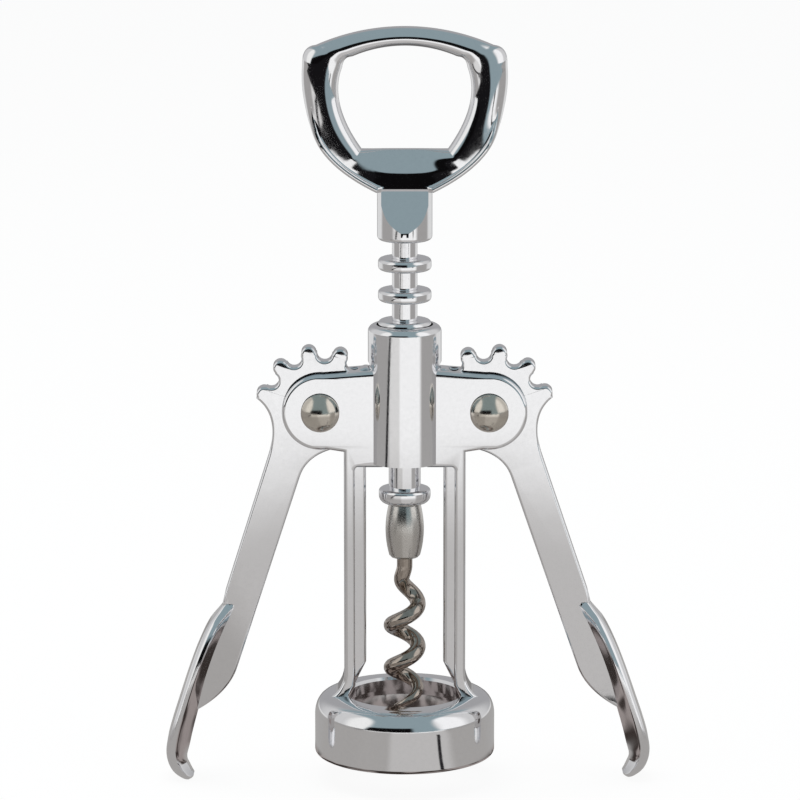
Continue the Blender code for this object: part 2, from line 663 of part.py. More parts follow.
# Worm: a right-handed wire spiral that leaves the axis below its shank and ends in a point.
def worm_path():
    """(x, y, z, thickness share) along the wire, from the shank's top down to the point."""
    shank_top = COLLAR_UP - COLLAR_THICKNESS / 2 - SPIGOT_LENGTH - 2 * SEAT_GAP
    lead_top = COIL_TOP + COIL_LEAD_IN
    shank_steps = max(2, round((shank_top - lead_top) / WORM_SHANK_STEP))
    path = [(0, 0, shank_top + (lead_top - shank_top) * step / shank_steps, 1)
            for step in range(shank_steps)]
    lead_steps = round(COIL_STEP_COUNT * COIL_LEAD_IN_STEP_SHARE)
    for step in range(lead_steps):
        share = 1 - step / lead_steps
        angle = FULL_TURN * COIL_LEAD_IN_TURN * share
        radius = COIL_RADIUS * (1 - share ** 2 * (3 - 2 * share))
        path.append((radius * math.cos(angle), radius * math.sin(angle), COIL_TOP + COIL_LEAD_IN * share, 1))
    turns = (COIL_TOP - COIL_END) / COIL_PITCH
    coil_steps = math.ceil(turns * COIL_STEP_COUNT)
    for step in range(coil_steps + 1):
        turned_by = FULL_TURN * turns * step / coil_steps
        up = COIL_TOP - (COIL_TOP - COIL_END) * step / coil_steps
        share = max(0, min(1, (up - COIL_END) / WORM_POINT_LENGTH))
        path.append((COIL_RADIUS * math.cos(-turned_by), COIL_RADIUS * math.sin(-turned_by), up,
                     max(WORM_POINT_SHARE, share ** 0.5)))
    return path


worm_curve = bpy.data.curves.new("worm_wire", 'CURVE')
worm_curve.dimensions = '3D'
worm_curve.bevel_depth = WIRE_RADIUS
worm_curve.bevel_resolution = 2
worm_curve.use_fill_caps = True
wire = worm_curve.splines.new('POLY')
wire_points = worm_path()
wire.points.add(len(wire_points) - 1)
for spline_point, (x, y, z, thickness) in zip(wire.points, wire_points):
    spline_point.co = (x, y, z, 1)
    spline_point.radius = thickness
worm_curve.materials.append(STEEL)
worm = bpy.data.objects.new("worm", worm_curve)
worm.parent = stand
parts.objects.link(worm)


# Handle: the opener bow is a limb of rounded section, lofted round its hole, over a round socket.
def bow_up(share):
    """A height on the bow, from its share of the way from the neck to the top."""
    return NECK_UP + share * (BOW_TOP - NECK_UP)


def bow_outline():
    """Right half of the bow, clockwise from the middle of its top to the middle of its neck."""
    reach = math.asin(BOW_CORNER_OUT / BOW_TOP_RADIUS)
    top = arc((0, BOW_TOP - BOW_TOP_RADIUS), BOW_TOP_RADIUS, QUARTER_TURN, QUARTER_TURN - reach, 18)
    corner = bend(top[-1], (BOW_CORNER_TIP_OUT, bow_up(BOW_CORNER_TIP_SHARE)),
                  (BOW_SIDE_OUT, bow_up(BOW_SIDE_TOP_SHARE)), 12)
    side = bend(corner[-1], (BOW_SIDE_BULGE_OUT, bow_up(BOW_SIDE_BULGE_SHARE)),
                (BOW_HIP_OUT, bow_up(BOW_HIP_SHARE)), 14)
    lower = bend(side[-1], (BOW_LOWER_OUT, bow_up(BOW_LOWER_SHARE)), (NECK_OUT, NECK_UP), 16)
    return top + corner[1:] + side[1:] + lower[1:] + [(0, NECK_UP)]


def hole_outline():
    """Right half of the bow's hole, clockwise, to the middle of its flat floor."""
    hole_top = bow_up(HOLE_TOP_SHARE)
    reach = math.asin(HOLE_CORNER_OUT / HOLE_TOP_RADIUS)
    top = arc((0, hole_top - HOLE_TOP_RADIUS), HOLE_TOP_RADIUS, QUARTER_TURN, QUARTER_TURN - reach, 12)
    corner = bend(top[-1], (HOLE_CORNER_TIP, top[-1][1]), (HOLE_SIDE_OUT, bow_up(HOLE_SIDE_TOP_SHARE)), 8)
    side = bend(corner[-1], (HOLE_BULGE_OUT, bow_up(HOLE_BULGE_SHARE)),
                (HOLE_FLOOR_OUT, bow_up(HOLE_FLOOR_SHARE)), 18)
    return top + corner[1:] + side[1:] + [(0, bow_up(HOLE_FLOOR_SHARE))]


def ray_angle(out, up):
    """The angle, from straight up, of the ray from the bow's middle through a point."""
    return math.pi - math.atan2(out, bow_up(BOW_MIDDLE_SHARE) - up)


def along_ray(outline, angle):
    """Where the ray from the bow's middle at an angle meets a half outline."""
    middle = Vector((0, bow_up(BOW_MIDDLE_SHARE)))
    heading = Vector((math.sin(angle), math.cos(angle)))
    best = None
    for first, second in zip(outline, outline[1:]):
        start, end = Vector(first) - middle, Vector(second) - middle
        side_of_start, side_of_end = heading.cross(start), heading.cross(end)
        share = side_of_start / (side_of_start - side_of_end) if side_of_start != side_of_end else 0
        hit = start.lerp(end, max(0, min(1, share)))
        miss = abs(heading.cross(hit)) + max(0, -heading.dot(hit))
        if best is None or miss < best[0]:
            best = (miss, hit + middle)
    return best[1]


def ease(value, low, high):
    """0 below low, 1 above high, and a smooth climb between."""
    share = max(0, min(1, (value - low) / (high - low)))
    return share * share * (3 - 2 * share)


def half_depth(share, width, sunk_share, bead_share, lip_share):
    """Half the bow's depth at a share of the way from its outer wall to its hole."""
    crest = BOW_DEPTH / 2
    if share < CREST_SHARE:
        swell = (1 - ((CREST_SHARE - share) / CREST_SHARE) ** OUTER_ROUND) ** (1 / OUTER_ROUND)
    else:
        swell = (1 - ((share - CREST_SHARE) / (1 - CREST_SHARE)) ** INNER_ROUND) ** (1 / INNER_ROUND)
    sunk = crest - RECESS_DEPTH
    face = sunk * (swell if share > CREST_SHARE else 1)
    from_hole = (1 - share) * width
    lip_root = sunk - LIP_ROOT_FALL
    if from_hole < LIP_DROP:
        leaning = LIP_THICKNESS / 2 + (lip_root - LIP_THICKNESS / 2) * from_hole / LIP_DROP
    else:
        leaning = min(sunk, lip_root + LIP_ROOT_FALL * (from_hole - LIP_DROP) / LIP_DROP)
    face += (leaning - face) * lip_share
    bead_round = min(BEAD_WIDTH, BEAD_WALL_SHARE * width) / 2
    off_middle = abs(share * width - bead_round)
    if off_middle < bead_round:
        bead = crest - bead_round + math.sqrt(bead_round ** 2 - off_middle ** 2)
        face = max(face, face + (bead - face) * bead_share)
    return crest * swell * (1 - sunk_share) + face * sunk_share


def bow_rings():
    """Closed sections of the whole bow, one for each ray from its middle."""
    outer, inner = bow_outline(), hole_outline()
    neck_turn = ray_angle(NECK_OUT, NECK_UP)
    bead_foot_turn = ray_angle(NECK_OUT - BEAD_WIDTH, NECK_UP)
    floor_turn = ray_angle(HOLE_FLOOR_OUT, bow_up(HOLE_FLOOR_SHARE))
    corner_turn = ray_angle(BOW_CORNER_TIP_OUT, bow_up(BOW_CORNER_TIP_SHARE))
    marked = [neck_turn, bead_foot_turn, floor_turn, corner_turn]
    step_turn = math.pi / BOW_STEPS
    even = [step_turn * step for step in range(BOW_STEPS + 1)]
    turns = sorted(marked + [turn for turn in even
                             if min(abs(turn - other) for other in marked) > step_turn / 3])
    right = []
    for turn in turns:
        wall, rim = along_ray(outer, turn), along_ray(inner, turn)
        width = (wall - rim).length
        over_socket = turn > neck_turn
        sunk_share = 1 if over_socket else max(0.2 * ease(turn, corner_turn - step_turn, corner_turn),
                                               ease(turn, QUARTER_TURN, floor_turn))
        bead_share = 1 - ease(turn, neck_turn, bead_foot_turn)
        lip_share = ease(turn, floor_turn - step_turn, floor_turn + step_turn / 2)
        section = [(wall.x, 0, wall.y)]
        bead_part = min(BEAD_WIDTH / width, BEAD_WALL_SHARE)
        past_bead = BEAD_STEP_SHARES[-1] * bead_part
        shares = [share * bead_part for share in BEAD_STEP_SHARES]
        shares += [past_bead + (1 - past_bead) * math.sin(QUARTER_TURN * step / FACE_STEPS)
                   for step in range(1, FACE_STEPS)]
        for share in shares:
            point = wall.lerp(rim, share)
            section.append((point.x, half_depth(share, width, sunk_share, bead_share, lip_share), point.y))
        section.append((rim.x, 0, rim.y))
        right.append(section)
    rings = []
    for section in right + [[(-x, y, z) for x, y, z in section] for section in reversed(right[1:-1])]:
        rings.append([(x, -y, z) for x, y, z in section] + section[-2:0:-1])
    return rings


handle = place(finish_mesh(hoop(bow_rings()), "handle"), "handle", CHROME)
socket_edge = arc((SOCKET_RADIUS - SOCKET_EDGE, SOCKET_BOTTOM + SOCKET_EDGE), SOCKET_EDGE, 0,
                  -QUARTER_TURN, 3)
combine(handle, 'UNION', [
    turned("socket", [(0, TONGUE_TOP), (SOCKET_RADIUS, TONGUE_TOP)] + socket_edge
           + [(0, SOCKET_BOTTOM)], BARREL_STEPS),
])
crease_from_hole = bow_up(HOLE_FLOOR_SHARE) - TONGUE_TOP
neck_width = bow_up(HOLE_FLOOR_SHARE) - NECK_UP
crease_depth = half_depth(1 - crease_from_hole / neck_width, neck_width, 1, 0, 1)
clear_of_bow = SOCKET_RADIUS + OVERRUN
for face_name, facing in (("front", -1), ("back", 1)):
    scoop = bend((crease_depth, TONGUE_TOP), (TONGUE_BEND_DEPTH, TONGUE_BEND_UP),
                 (SOCKET_RADIUS, TONGUE_BOTTOM), 6)
    tongue_sides = ([(crease_depth, TONGUE_TOP + OVERLAP)] + scoop
                    + [(clear_of_bow, TONGUE_BOTTOM), (clear_of_bow, TONGUE_TOP + OVERLAP)])
    combine(handle, 'DIFFERENCE', [
        wedge("tongue_" + face_name, [(facing * depth, up) for depth, up in tongue_sides], TONGUE_OUT)])
stem_hole_radius = STEM_RADIUS + SEAT_GAP
stem_hole = turned("stem_hole", [
    (0, STEM_SEAT_UP + SEAT_GAP), (stem_hole_radius, STEM_SEAT_UP + SEAT_GAP),
    (stem_hole_radius, SOCKET_BOTTOM - OVERRUN), (0, SOCKET_BOTTOM - OVERRUN)], STEM_STEPS)
combine(handle, 'DIFFERENCE', [stem_hole])
smooth(handle)

# Lift the tool so that the lowest point of the levers is at z = 0.
bpy.context.view_layer.update()
lowest = min((left_paddle.matrix_world @ vertex.co).z for vertex in left_paddle.data.vertices)
stand.location.z = -lowest
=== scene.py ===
"""Visual model of a wing corkscrew with a crown-cap opener in its handle.

Metres, +Z up. The screw's axis is the Z axis and the front is -Y. The tool's heights are written from
the foot of the bell, and foot_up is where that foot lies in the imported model.
"""
import math

import bmesh
import bpy
from mathutils import Matrix, Vector


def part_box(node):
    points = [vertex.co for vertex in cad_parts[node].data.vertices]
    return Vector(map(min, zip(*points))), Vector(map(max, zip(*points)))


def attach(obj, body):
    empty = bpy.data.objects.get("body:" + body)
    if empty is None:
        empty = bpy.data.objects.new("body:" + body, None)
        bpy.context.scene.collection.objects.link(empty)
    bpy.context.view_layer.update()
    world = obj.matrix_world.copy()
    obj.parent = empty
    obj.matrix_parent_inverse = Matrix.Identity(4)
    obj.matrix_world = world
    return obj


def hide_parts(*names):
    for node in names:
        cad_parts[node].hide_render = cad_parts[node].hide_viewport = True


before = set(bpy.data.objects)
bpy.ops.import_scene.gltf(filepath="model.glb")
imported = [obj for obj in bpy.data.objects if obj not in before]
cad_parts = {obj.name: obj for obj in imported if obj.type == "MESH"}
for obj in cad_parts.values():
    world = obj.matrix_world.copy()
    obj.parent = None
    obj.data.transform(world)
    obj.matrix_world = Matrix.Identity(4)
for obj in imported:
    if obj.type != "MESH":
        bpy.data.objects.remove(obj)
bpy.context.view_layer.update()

# The frame is one zinc die casting, polished and chrome plated: cheeks, legs with inner ribs, the
# barrel that guides the rack, and the bell that sits on the bottle's neck.
full_turn = 2 * math.pi
quarter_turn = math.pi / 2
foot_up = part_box("frame")[0].z
weld = 0.000002
overrun = 0.003
overlap = 0.0004
both_sides = (("right", 1), ("left", -1))

rack_pitch = 0.00725
pitch_line_out = 0.00625
teeth_in_full_turn = 11.5
tooth_angle = full_turn / teeth_in_full_turn
pitch_radius = rack_pitch / tooth_angle
tooth_addendum = 0.0020
tip_radius = pitch_radius + tooth_addendum
pivot_out = pitch_line_out + pitch_radius
pivot_up = 0.082

frame_depth = 0.0090
frame_edge = 0.0009
edge_steps = 4
corner_steps = 6
slot_width = 0.0048
slot_clearance = 0.0006
slot_steps = 160
ear_radius = 0.00885
ear_steps = 64
cheek_taper = math.radians(4.5)
cheek_foot_taper = math.radians(9)
arch_up = 0.0690
arch_corner = 0.0007
leg_outer = 0.0141
leg_inner = 0.0115
rib_inner = 0.0090
rib_depth = 0.0060
rib_edge = 0.0010
rib_cut_top = 0.0222
rib_cut_bottom = 0.0168
leg_flare_start = 0.0205
leg_flare_out = 0.0190
leg_flare_up = 0.0132
leg_flare_corner_up = 0.0150
leg_flare_steps = 20
leg_foot_up = 0.0104
leg_foot_out = 0.0192
leg_foot_in = 0.0157
leg_heel_in = 0.0137
barrel_radius = 0.0085
barrel_bore_radius = 0.00655
barrel_bottom = 0.0698
barrel_top = 0.1020
barrel_top_edge = 0.0016
barrel_edge_steps = 12
barrel_steps = 128
bell_radius = 0.0210
bell_side = 0.0090
bell_height = 0.01425
bell_rim_radius = 0.0156
bell_mouth_radius = 0.0132
bell_mouth_lip = 0.0006
bell_foot_edge = 0.0009
bell_shoulder_rise = (0.0191, bell_height)
bell_shoulder_middle = (0.0202, 0.0124)
bell_shoulder_fall = (bell_radius, 0.0111)
bell_step_radius = 0.0150
bell_step_up = 0.0112
bell_seat_radius = 0.0168
bell_seat_depth = 0.0096
bell_shoulder_steps = 14
bell_foot_steps = 5
bell_steps = 192


def linear(hex_colour):
    """An sRGB hex colour as the linear RGBA that the shader's socket wants."""
    channels = [int(hex_colour[start:start + 2], 16) / 255 for start in (1, 3, 5)]
    return tuple(c / 12.92 if c <= 0.04045 else ((c + 0.055) / 1.055) ** 2.4 for c in channels) + (1,)


def add_node(tree, kind, settings=None, **links):
    """A node with its settings and its inputs, given by name, or by n and a number: values or links."""
    node = tree.nodes.new(kind)
    for name, value in (settings or {}).items():
        setattr(node, name, value)
    for name, value in links.items():
        socket = node.inputs[int(name[1:])] if name[0] == "n" and name[1:].isdigit() else node.inputs[
            name.replace("_", " ")]
        if isinstance(value, bpy.types.NodeSocket):
            tree.links.new(value, socket)
        else:
            socket.default_value = value
    return node


def metal_finish(name, shades, roughness, streak_mm, streak_share, wave_mm, wave_height_mm):
    """A metal surface: its two shades, polish streaks in its roughness, and its slow waves.

    Streaks are finer on the real metals. They are drawn as coarse as they need to show.
    """
    material = bpy.data.materials.new(name)
    material.use_nodes = True
    tree = material.node_tree
    shader = tree.nodes["Principled BSDF"]
    shader.inputs["Metallic"].default_value = 1
    place_of = add_node(tree, "ShaderNodeTexCoord").outputs["Object"]
    streaks = add_node(tree, "ShaderNodeTexNoise", Vector=place_of, Scale=1000 / streak_mm, Detail=5.0,
                       Roughness=0.65)
    rough = add_node(tree, "ShaderNodeMapRange", Value=streaks.outputs["Fac"], n1=0.3, n2=0.7,
                     n3=roughness * (1 - streak_share), n4=roughness * (1 + streak_share))
    tree.links.new(rough.outputs["Result"], shader.inputs["Roughness"])
    shade = add_node(tree, "ShaderNodeMix", {"data_type": 'RGBA'}, n0=streaks.outputs["Fac"],
                     n6=linear(shades[0]), n7=linear(shades[1]))
    tree.links.new(shade.outputs[2], shader.inputs["Base Color"])
    waves = add_node(tree, "ShaderNodeTexNoise", Vector=place_of, Scale=1000 / wave_mm, Detail=2.0)
    bump = add_node(tree, "ShaderNodeBump", Height=waves.outputs["Fac"], Distance=wave_height_mm / 1000,
                    Strength=1.0)
    tree.links.new(bump.outputs["Normal"], shader.inputs["Normal"])
    return material


# Chrome over a hand-polished casting: mirror bright, slightly blurred, with faint orange peel
chrome_shades = ("#F3F3F5", "#EAEAEC")
chrome_plate = metal_finish("polished_chrome_plate", chrome_shades, roughness=0.07, streak_mm=0.9,
                            streak_share=0.35, wave_mm=2.6, wave_height_mm=0.004)


def arc(centre, radius, start, end, steps):
    """Points on a circle from one angle to another, both ends included."""
    points = []
    for step in range(steps + 1):
        angle = start + (end - start) * step / steps
        points.append((centre[0] + radius * math.cos(angle), centre[1] + radius * math.sin(angle)))
    return points


def bend(start, corner, end, steps):
    """Points of a smooth curve that leaves start towards corner and reaches end from it."""
    points = []
    for step in range(steps + 1):
        share = step / steps
        weights = ((1 - share) ** 2, 2 * share * (1 - share), share ** 2)
        points.append(tuple(
            sum(weight * point[axis] for weight, point in zip(weights, (start, corner, end)))
            for axis in range(2)))
    return points


def mirrored(half):
    """A closed outline from its right half, which starts and ends next to the middle line."""
    return half + [(-across, up) for across, up in reversed(half)]


def clockwise(outline):
    """The outline's points in clockwise order."""
    area = sum(first[0] * second[1] - second[0] * first[1]
               for first, second in zip(outline, outline[1:] + outline[:1]))
    return outline[::-1] if area > 0 else outline


def new_piece(shape, name):
    """An object from a bmesh, welded, faces out. The bmesh is freed."""
    bmesh.ops.remove_doubles(shape, verts=shape.verts, dist=weld)
    bmesh.ops.recalc_face_normals(shape, faces=shape.faces)
    mesh = bpy.data.meshes.new(name)
    shape.to_mesh(mesh)
    shape.free()
    piece = bpy.data.objects.new(name, mesh)
    bpy.context.scene.collection.objects.link(piece)
    return piece


def plate(name, depth, outline, edge):
    """A flat plate that stands in the XZ plane, its depth along Y, with rounded edges."""
    curve = bpy.data.curves.new(name, 'CURVE')
    curve.dimensions = '2D'
    curve.fill_mode = 'BOTH'
    curve.extrude = depth / 2 - edge
    curve.bevel_depth = edge
    curve.bevel_resolution = edge_steps
    curve.offset = -edge
    spline = curve.splines.new('POLY')
    spline.points.add(len(outline) - 1)
    for spline_point, (across, up) in zip(spline.points, clockwise(outline)):
        spline_point.co = (across, up, 0, 1)
    spline.use_cyclic_u = True
    flat = bpy.data.objects.new(name + "_outline", curve)
    bpy.context.scene.collection.objects.link(flat)
    evaluated = flat.evaluated_get(bpy.context.evaluated_depsgraph_get())
    shape = bmesh.new()
    shape.from_mesh(bpy.data.meshes.new_from_object(evaluated))
    bpy.data.objects.remove(flat)
    shape.transform(Matrix.Rotation(quarter_turn, 4, 'X'))
    return new_piece(shape, name)


def turned(name, profile, steps, closed=False):
    """A turned shape about Z from a profile of (radius, up) points."""
    shape = bmesh.new()
    rings = []
    for radius, up in profile:
        if radius < weld:
            rings.append([shape.verts.new((0, 0, up))])
        else:
            rings.append([shape.verts.new((radius * math.cos(full_turn * step / steps),
                                           radius * math.sin(full_turn * step / steps), up))
                          for step in range(steps)])
    pairs = list(zip(rings, rings[1:])) + ([(rings[-1], rings[0])] if closed else [])
    for upper, lower in pairs:
        for step in range(steps):
            beside = (step + 1) % steps
            corners = [upper[step % len(upper)], upper[beside % len(upper)],
                       lower[beside % len(lower)], lower[step % len(lower)]]
            corners = list(dict.fromkeys(corners))
            if len(corners) > 2:
                shape.faces.new(corners)
    return new_piece(shape, name)


def drill(name, radius, top, bottom, steps):
    """A plain round bar about Z: a cutter for bores."""
    return turned(name, [(0, top), (radius, top), (radius, bottom), (0, bottom)], steps)


def rod_along_y(name, radius, length, steps, centre):
    """A plain round bar along Y at (out, up): a cutter for holes and slots."""
    shape = bmesh.new()
    bmesh.ops.create_cone(shape, cap_ends=True, segments=steps, radius1=radius, radius2=radius,
                          depth=length)
    shape.transform(Matrix.Rotation(quarter_turn, 4, 'X'))
    shape.transform(Matrix.Translation((centre[0], 0, centre[1])))
    return new_piece(shape, name)


def make_plain(piece):
    """Make what the piece's modifiers give its own plain mesh, without them."""
    evaluated = piece.evaluated_get(bpy.context.evaluated_depsgraph_get())
    mesh = bpy.data.meshes.new_from_object(evaluated)
    piece.modifiers.clear()
    piece.data = mesh


def join_and_cut(body, added, removed):
    """Join pieces to the body and cut others out of it. All of them are deleted."""
    for operation, tools in (('UNION', added), ('DIFFERENCE', removed)):
        for tool in tools:
            step = body.modifiers.new(tool.name, 'BOOLEAN')
            step.operation = operation
            step.object = tool
    make_plain(body)
    for tool in added + removed:
        bpy.data.objects.remove(tool)


def settle(piece, material, body, nodes, sharp_angle=math.radians(28)):
    """Lift a piece to its place in the frame, shade it, and hang it on its body."""
    shape = bmesh.new()
    shape.from_mesh(piece.data)
    bmesh.ops.remove_doubles(shape, verts=shape.verts, dist=weld)
    bmesh.ops.dissolve_degenerate(shape, edges=shape.edges, dist=weld)
    shape.transform(Matrix.Translation((0, 0, foot_up)))
    shape.to_mesh(piece.data)
    shape.free()
    piece.data.materials.clear()
    piece.data.materials.append(material)
    for face in piece.data.polygons:
        face.material_index = 0
    piece.data.shade_smooth()
    piece.data.set_sharp_from_angle(angle=sharp_angle)
    flat_faces = piece.modifiers.new("flat_faces", 'WEIGHTED_NORMAL')
    flat_faces.keep_sharp = True
    flat_faces.weight = 60
    make_plain(piece)
    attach(piece, body)
    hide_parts(*nodes)


def slant_up(across):
    """Height of the slanting lower end of a leg's inner side and of its rib."""
    return rib_cut_bottom - (across - leg_inner) * (rib_cut_top - rib_cut_bottom) / (leg_inner - rib_inner)


def frame_outline():
    """Right half of the cheeks and legs, clockwise from the top of the barrel."""
    ear = arc((pivot_out, pivot_up), ear_radius, quarter_turn + cheek_taper,
              -quarter_turn - cheek_foot_taper, ear_steps)
    reach = ear[0][0] - barrel_bore_radius
    top_edge = (barrel_bore_radius, ear[0][1] + reach * math.tan(cheek_taper))
    hip_drop = (ear[-1][0] - leg_outer) * math.tan(cheek_foot_taper)
    hip = (leg_outer, ear[-1][1] - hip_drop)
    foot = bend((leg_outer, leg_flare_start), (leg_outer, leg_flare_corner_up),
                (leg_flare_out, leg_flare_up), leg_flare_steps)
    corner = arc((leg_inner - arch_corner, arch_up - arch_corner), arch_corner, 0, quarter_turn,
                 corner_steps)
    return ([top_edge] + ear + [hip] + foot
            + [(leg_foot_out, leg_foot_up), (leg_foot_in, leg_foot_up),
               (leg_heel_in, slant_up(leg_heel_in)), (leg_inner, rib_cut_bottom)]
            + corner + [(barrel_bore_radius, arch_up)])


def rib_outline(side):
    """The rib inside a leg, with its slanting lower end."""
    root = (leg_inner + leg_outer) / 2
    rib_top = arch_up + overlap + rib_edge
    corners = ((root, slant_up(root) + overlap), (rib_inner, rib_cut_top), (rib_inner, rib_top),
               (root, rib_top))
    return [(side * across, up) for across, up in corners]


bell_shoulder = (bend((bell_rim_radius, bell_height), bell_shoulder_rise, bell_shoulder_middle,
                      bell_shoulder_steps)
                 + bend(bell_shoulder_middle, bell_shoulder_fall, (bell_radius, bell_side),
                        bell_shoulder_steps)[1:])
bell_foot = arc((bell_radius - bell_foot_edge, bell_foot_edge), bell_foot_edge, 0, -quarter_turn,
                bell_foot_steps)
bell_profile = ([(bell_mouth_radius + bell_mouth_lip, bell_height)] + bell_shoulder + bell_foot
                + [(bell_seat_radius + bell_foot_edge, 0), (bell_seat_radius, bell_foot_edge),
                   (bell_seat_radius, bell_seat_depth), (bell_step_radius, bell_seat_depth),
                   (bell_step_radius, bell_step_up), (bell_mouth_radius, bell_step_up),
                   (bell_mouth_radius, bell_height - bell_mouth_lip)])
barrel_profile = ([(0, barrel_top)]
                  + arc((barrel_radius - barrel_top_edge, barrel_top - barrel_top_edge), barrel_top_edge,
                        quarter_turn, 0, barrel_edge_steps)
                  + [(barrel_radius, barrel_bottom), (0, barrel_bottom)])
casting = plate("frame_casting", frame_depth, mirrored(frame_outline()), frame_edge)
barrel = turned("barrel", barrel_profile, barrel_steps)
bell = turned("bell", bell_profile, bell_steps, closed=True)
barrel_bore = drill("barrel_bore", barrel_bore_radius, barrel_top + overrun, barrel_bottom - overrun,
                    barrel_steps)
ribs = []
lever_slots = []
for side_name, side in both_sides:
    ribs.append(plate("rib_" + side_name, rib_depth, rib_outline(side), rib_edge))
    lever_slots.append(rod_along_y("lever_slot_" + side_name, tip_radius + slot_clearance, slot_width,
                                   slot_steps, (side * pivot_out, pivot_up)))
join_and_cut(casting, [barrel, bell] + ribs, lever_slots + [barrel_bore])
settle(casting, chrome_plate, "frame", ["frame"])

# The rivets are nickel-plated steel: a domed head in front, a pin through the lever, and a domed
# cap pressed on the pin behind. They carry the levers.
pin_radius = 0.0024
seat_gap = 0.0003
rivet_head_radius = 0.00445
rivet_head_height = 0.0025
rivet_rim = 0.0004
crown_steps = 24
rivet_steps = 96
# Nickel is a little warmer and duller than the chrome beside it
nickel_plate = metal_finish("tumbled_nickel_plate", ("#DED8CF", "#CDC6BA"), roughness=0.17,
                            streak_mm=0.7, streak_share=0.3, wave_mm=1.6, wave_height_mm=0.005)


def dome(radius, height, rim, top):
    """Profile of a domed head from its middle down to its rim, with its crown at top."""
    ball = (radius ** 2 + height ** 2) / (2 * height)
    spread = math.asin(radius / ball)
    crown = arc((0, top - ball), ball, quarter_turn, quarter_turn - spread, crown_steps)
    crown[0] = (0, top)
    return crown + [(radius, top - height - rim)]


cheek_face = frame_depth / 2 + seat_gap
rivet_crown = dome(rivet_head_radius, rivet_head_height, rivet_rim,
                   cheek_face + rivet_rim + rivet_head_height)
rivet_pin = [(pin_radius, cheek_face), (pin_radius, -cheek_face), (0, -cheek_face)]
for side_name, side in both_sides:
    for name, facing, node, foot in (("rivet_head_", 1, "rivet_", rivet_pin),
                                     ("rivet_rear_cap_", -1, "rivet_cap_", [(0, cheek_face)])):
        rivet = turned(name + side_name, rivet_crown + foot, rivet_steps)
        rivet.data.transform(Matrix.Translation((side * pivot_out, 0, pivot_up))
                             @ Matrix.Rotation(facing * quarter_turn, 4, 'X'))
        settle(rivet, nickel_plate, "frame", [node + side_name],
               sharp_angle=math.radians(40))

# The levers are chrome-plated zinc castings: a head with seven round teeth, a flat arm, and a thumb
# paddle with a web behind it that hooks in at its end.
tooth_count = 7
first_tooth_turn = math.radians(84)
tooth_width = 0.0035
tooth_valley_width = 0.0035
tooth_depth = 0.0037
root_radius = tip_radius - tooth_depth
lever_lean = math.radians(18.55)
# Play in the gear lets the right lever stand out by this much more, and the left by as much less
lever_play = math.radians(0.55)
lever_thickness = 0.0042
lever_edge = 0.0006
arm_outer = 0.0081
arm_inner = 0.0003
arm_taper = 0.0003
arm_start = 0.015
neck_corner_drop = 0.0042
ear_turn = math.radians(40)
ear_drop = 0.0019
ear_out = 0.0149
throat_start = 0.0165
throat_corner_drop = 0.0100
throat_drop = 0.0062
throat_in = 0.0085
paddle_start = 0.048
paddle_length = 0.0445
paddle_out = 0.0085
paddle_depth = 0.0116
paddle_crown = 0.0017
paddle_spine = 0.0030
web_heel = 0.0645
web_end = 0.0772
web_end_out = 0.0071
tooth_steps = 14
neck_steps = 20
arm_curve_steps = 16
pin_hole_steps = 48
paddle_row_steps = 7
paddle_section_steps = 3
# The same plate over castings that are hand polished only, so their flats stay a little wavy
wavy_chrome = metal_finish("polished_chrome_on_wavy_castings", chrome_shades, roughness=0.08,
                           streak_mm=0.9, streak_share=0.35, wave_mm=13, wave_height_mm=0.035)
# Shares of the paddle's length, its distance out, half its depth, its crown and its spine
paddle_shares = (
    (0.00, 0.39, 0.33, 1.60, 0.60),
    (0.05, 0.57, 0.36, 1.20, 0.70),
    (0.12, 0.75, 0.56, 1.00, 0.80),
    (0.20, 0.89, 0.80, 1.00, 0.85),
    (0.33, 0.97, 0.96, 1.00, 0.85),
    (0.48, 1.00, 1.00, 1.00, 0.90),
    (0.63, 1.00, 1.00, 1.00, 1.05),
    (0.76, 0.985, 1.00, 1.05, 1.12),
    (0.855, 0.93, 1.00, 1.18, 1.10),
    (0.915, 0.82, 1.00, 1.28, 0.92),
    (0.96, 0.64, 0.98, 1.25, 0.60),
    (0.985, 0.44, 0.92, 1.05, 0.40),
    (0.997, 0.32, 0.80, 0.84, 0.30),
    (1.00, 0.24, 0.62, 0.56, 0.22),
    (1.00, 0.18, 0.34, 0.26, 0.12),
)
# Half a section of the paddle: shares of half its depth, then of its crown (up) or spine (down)
crown_section_shares = ((0.0, 1.00), (0.40, 1.00), (0.64, 0.98), (0.86, 0.76), (0.97, 0.34))
spine_section_shares = ((1.00, -0.04), (0.90, -0.22), (0.50, -0.72), (0.30, -1.00))


def smooth_row(rows, steps):
    """Rows of numbers with steps more rows put between each pair, on a curve through them all."""
    finer = []
    for index in range(len(rows) - 1):
        before = rows[max(index - 1, 0)]
        start, end = rows[index], rows[index + 1]
        after = rows[min(index + 2, len(rows) - 1)]
        for step in range(steps):
            share = step / steps
            finer.append(tuple(
                0.5 * (2 * s + (e - b) * share + (2 * b - 5 * s + 4 * e - a) * share ** 2
                       + (3 * s - b - 3 * e + a) * share ** 3)
                for b, s, e, a in zip(before, start, end, after)))
    return finer + [tuple(rows[-1])]


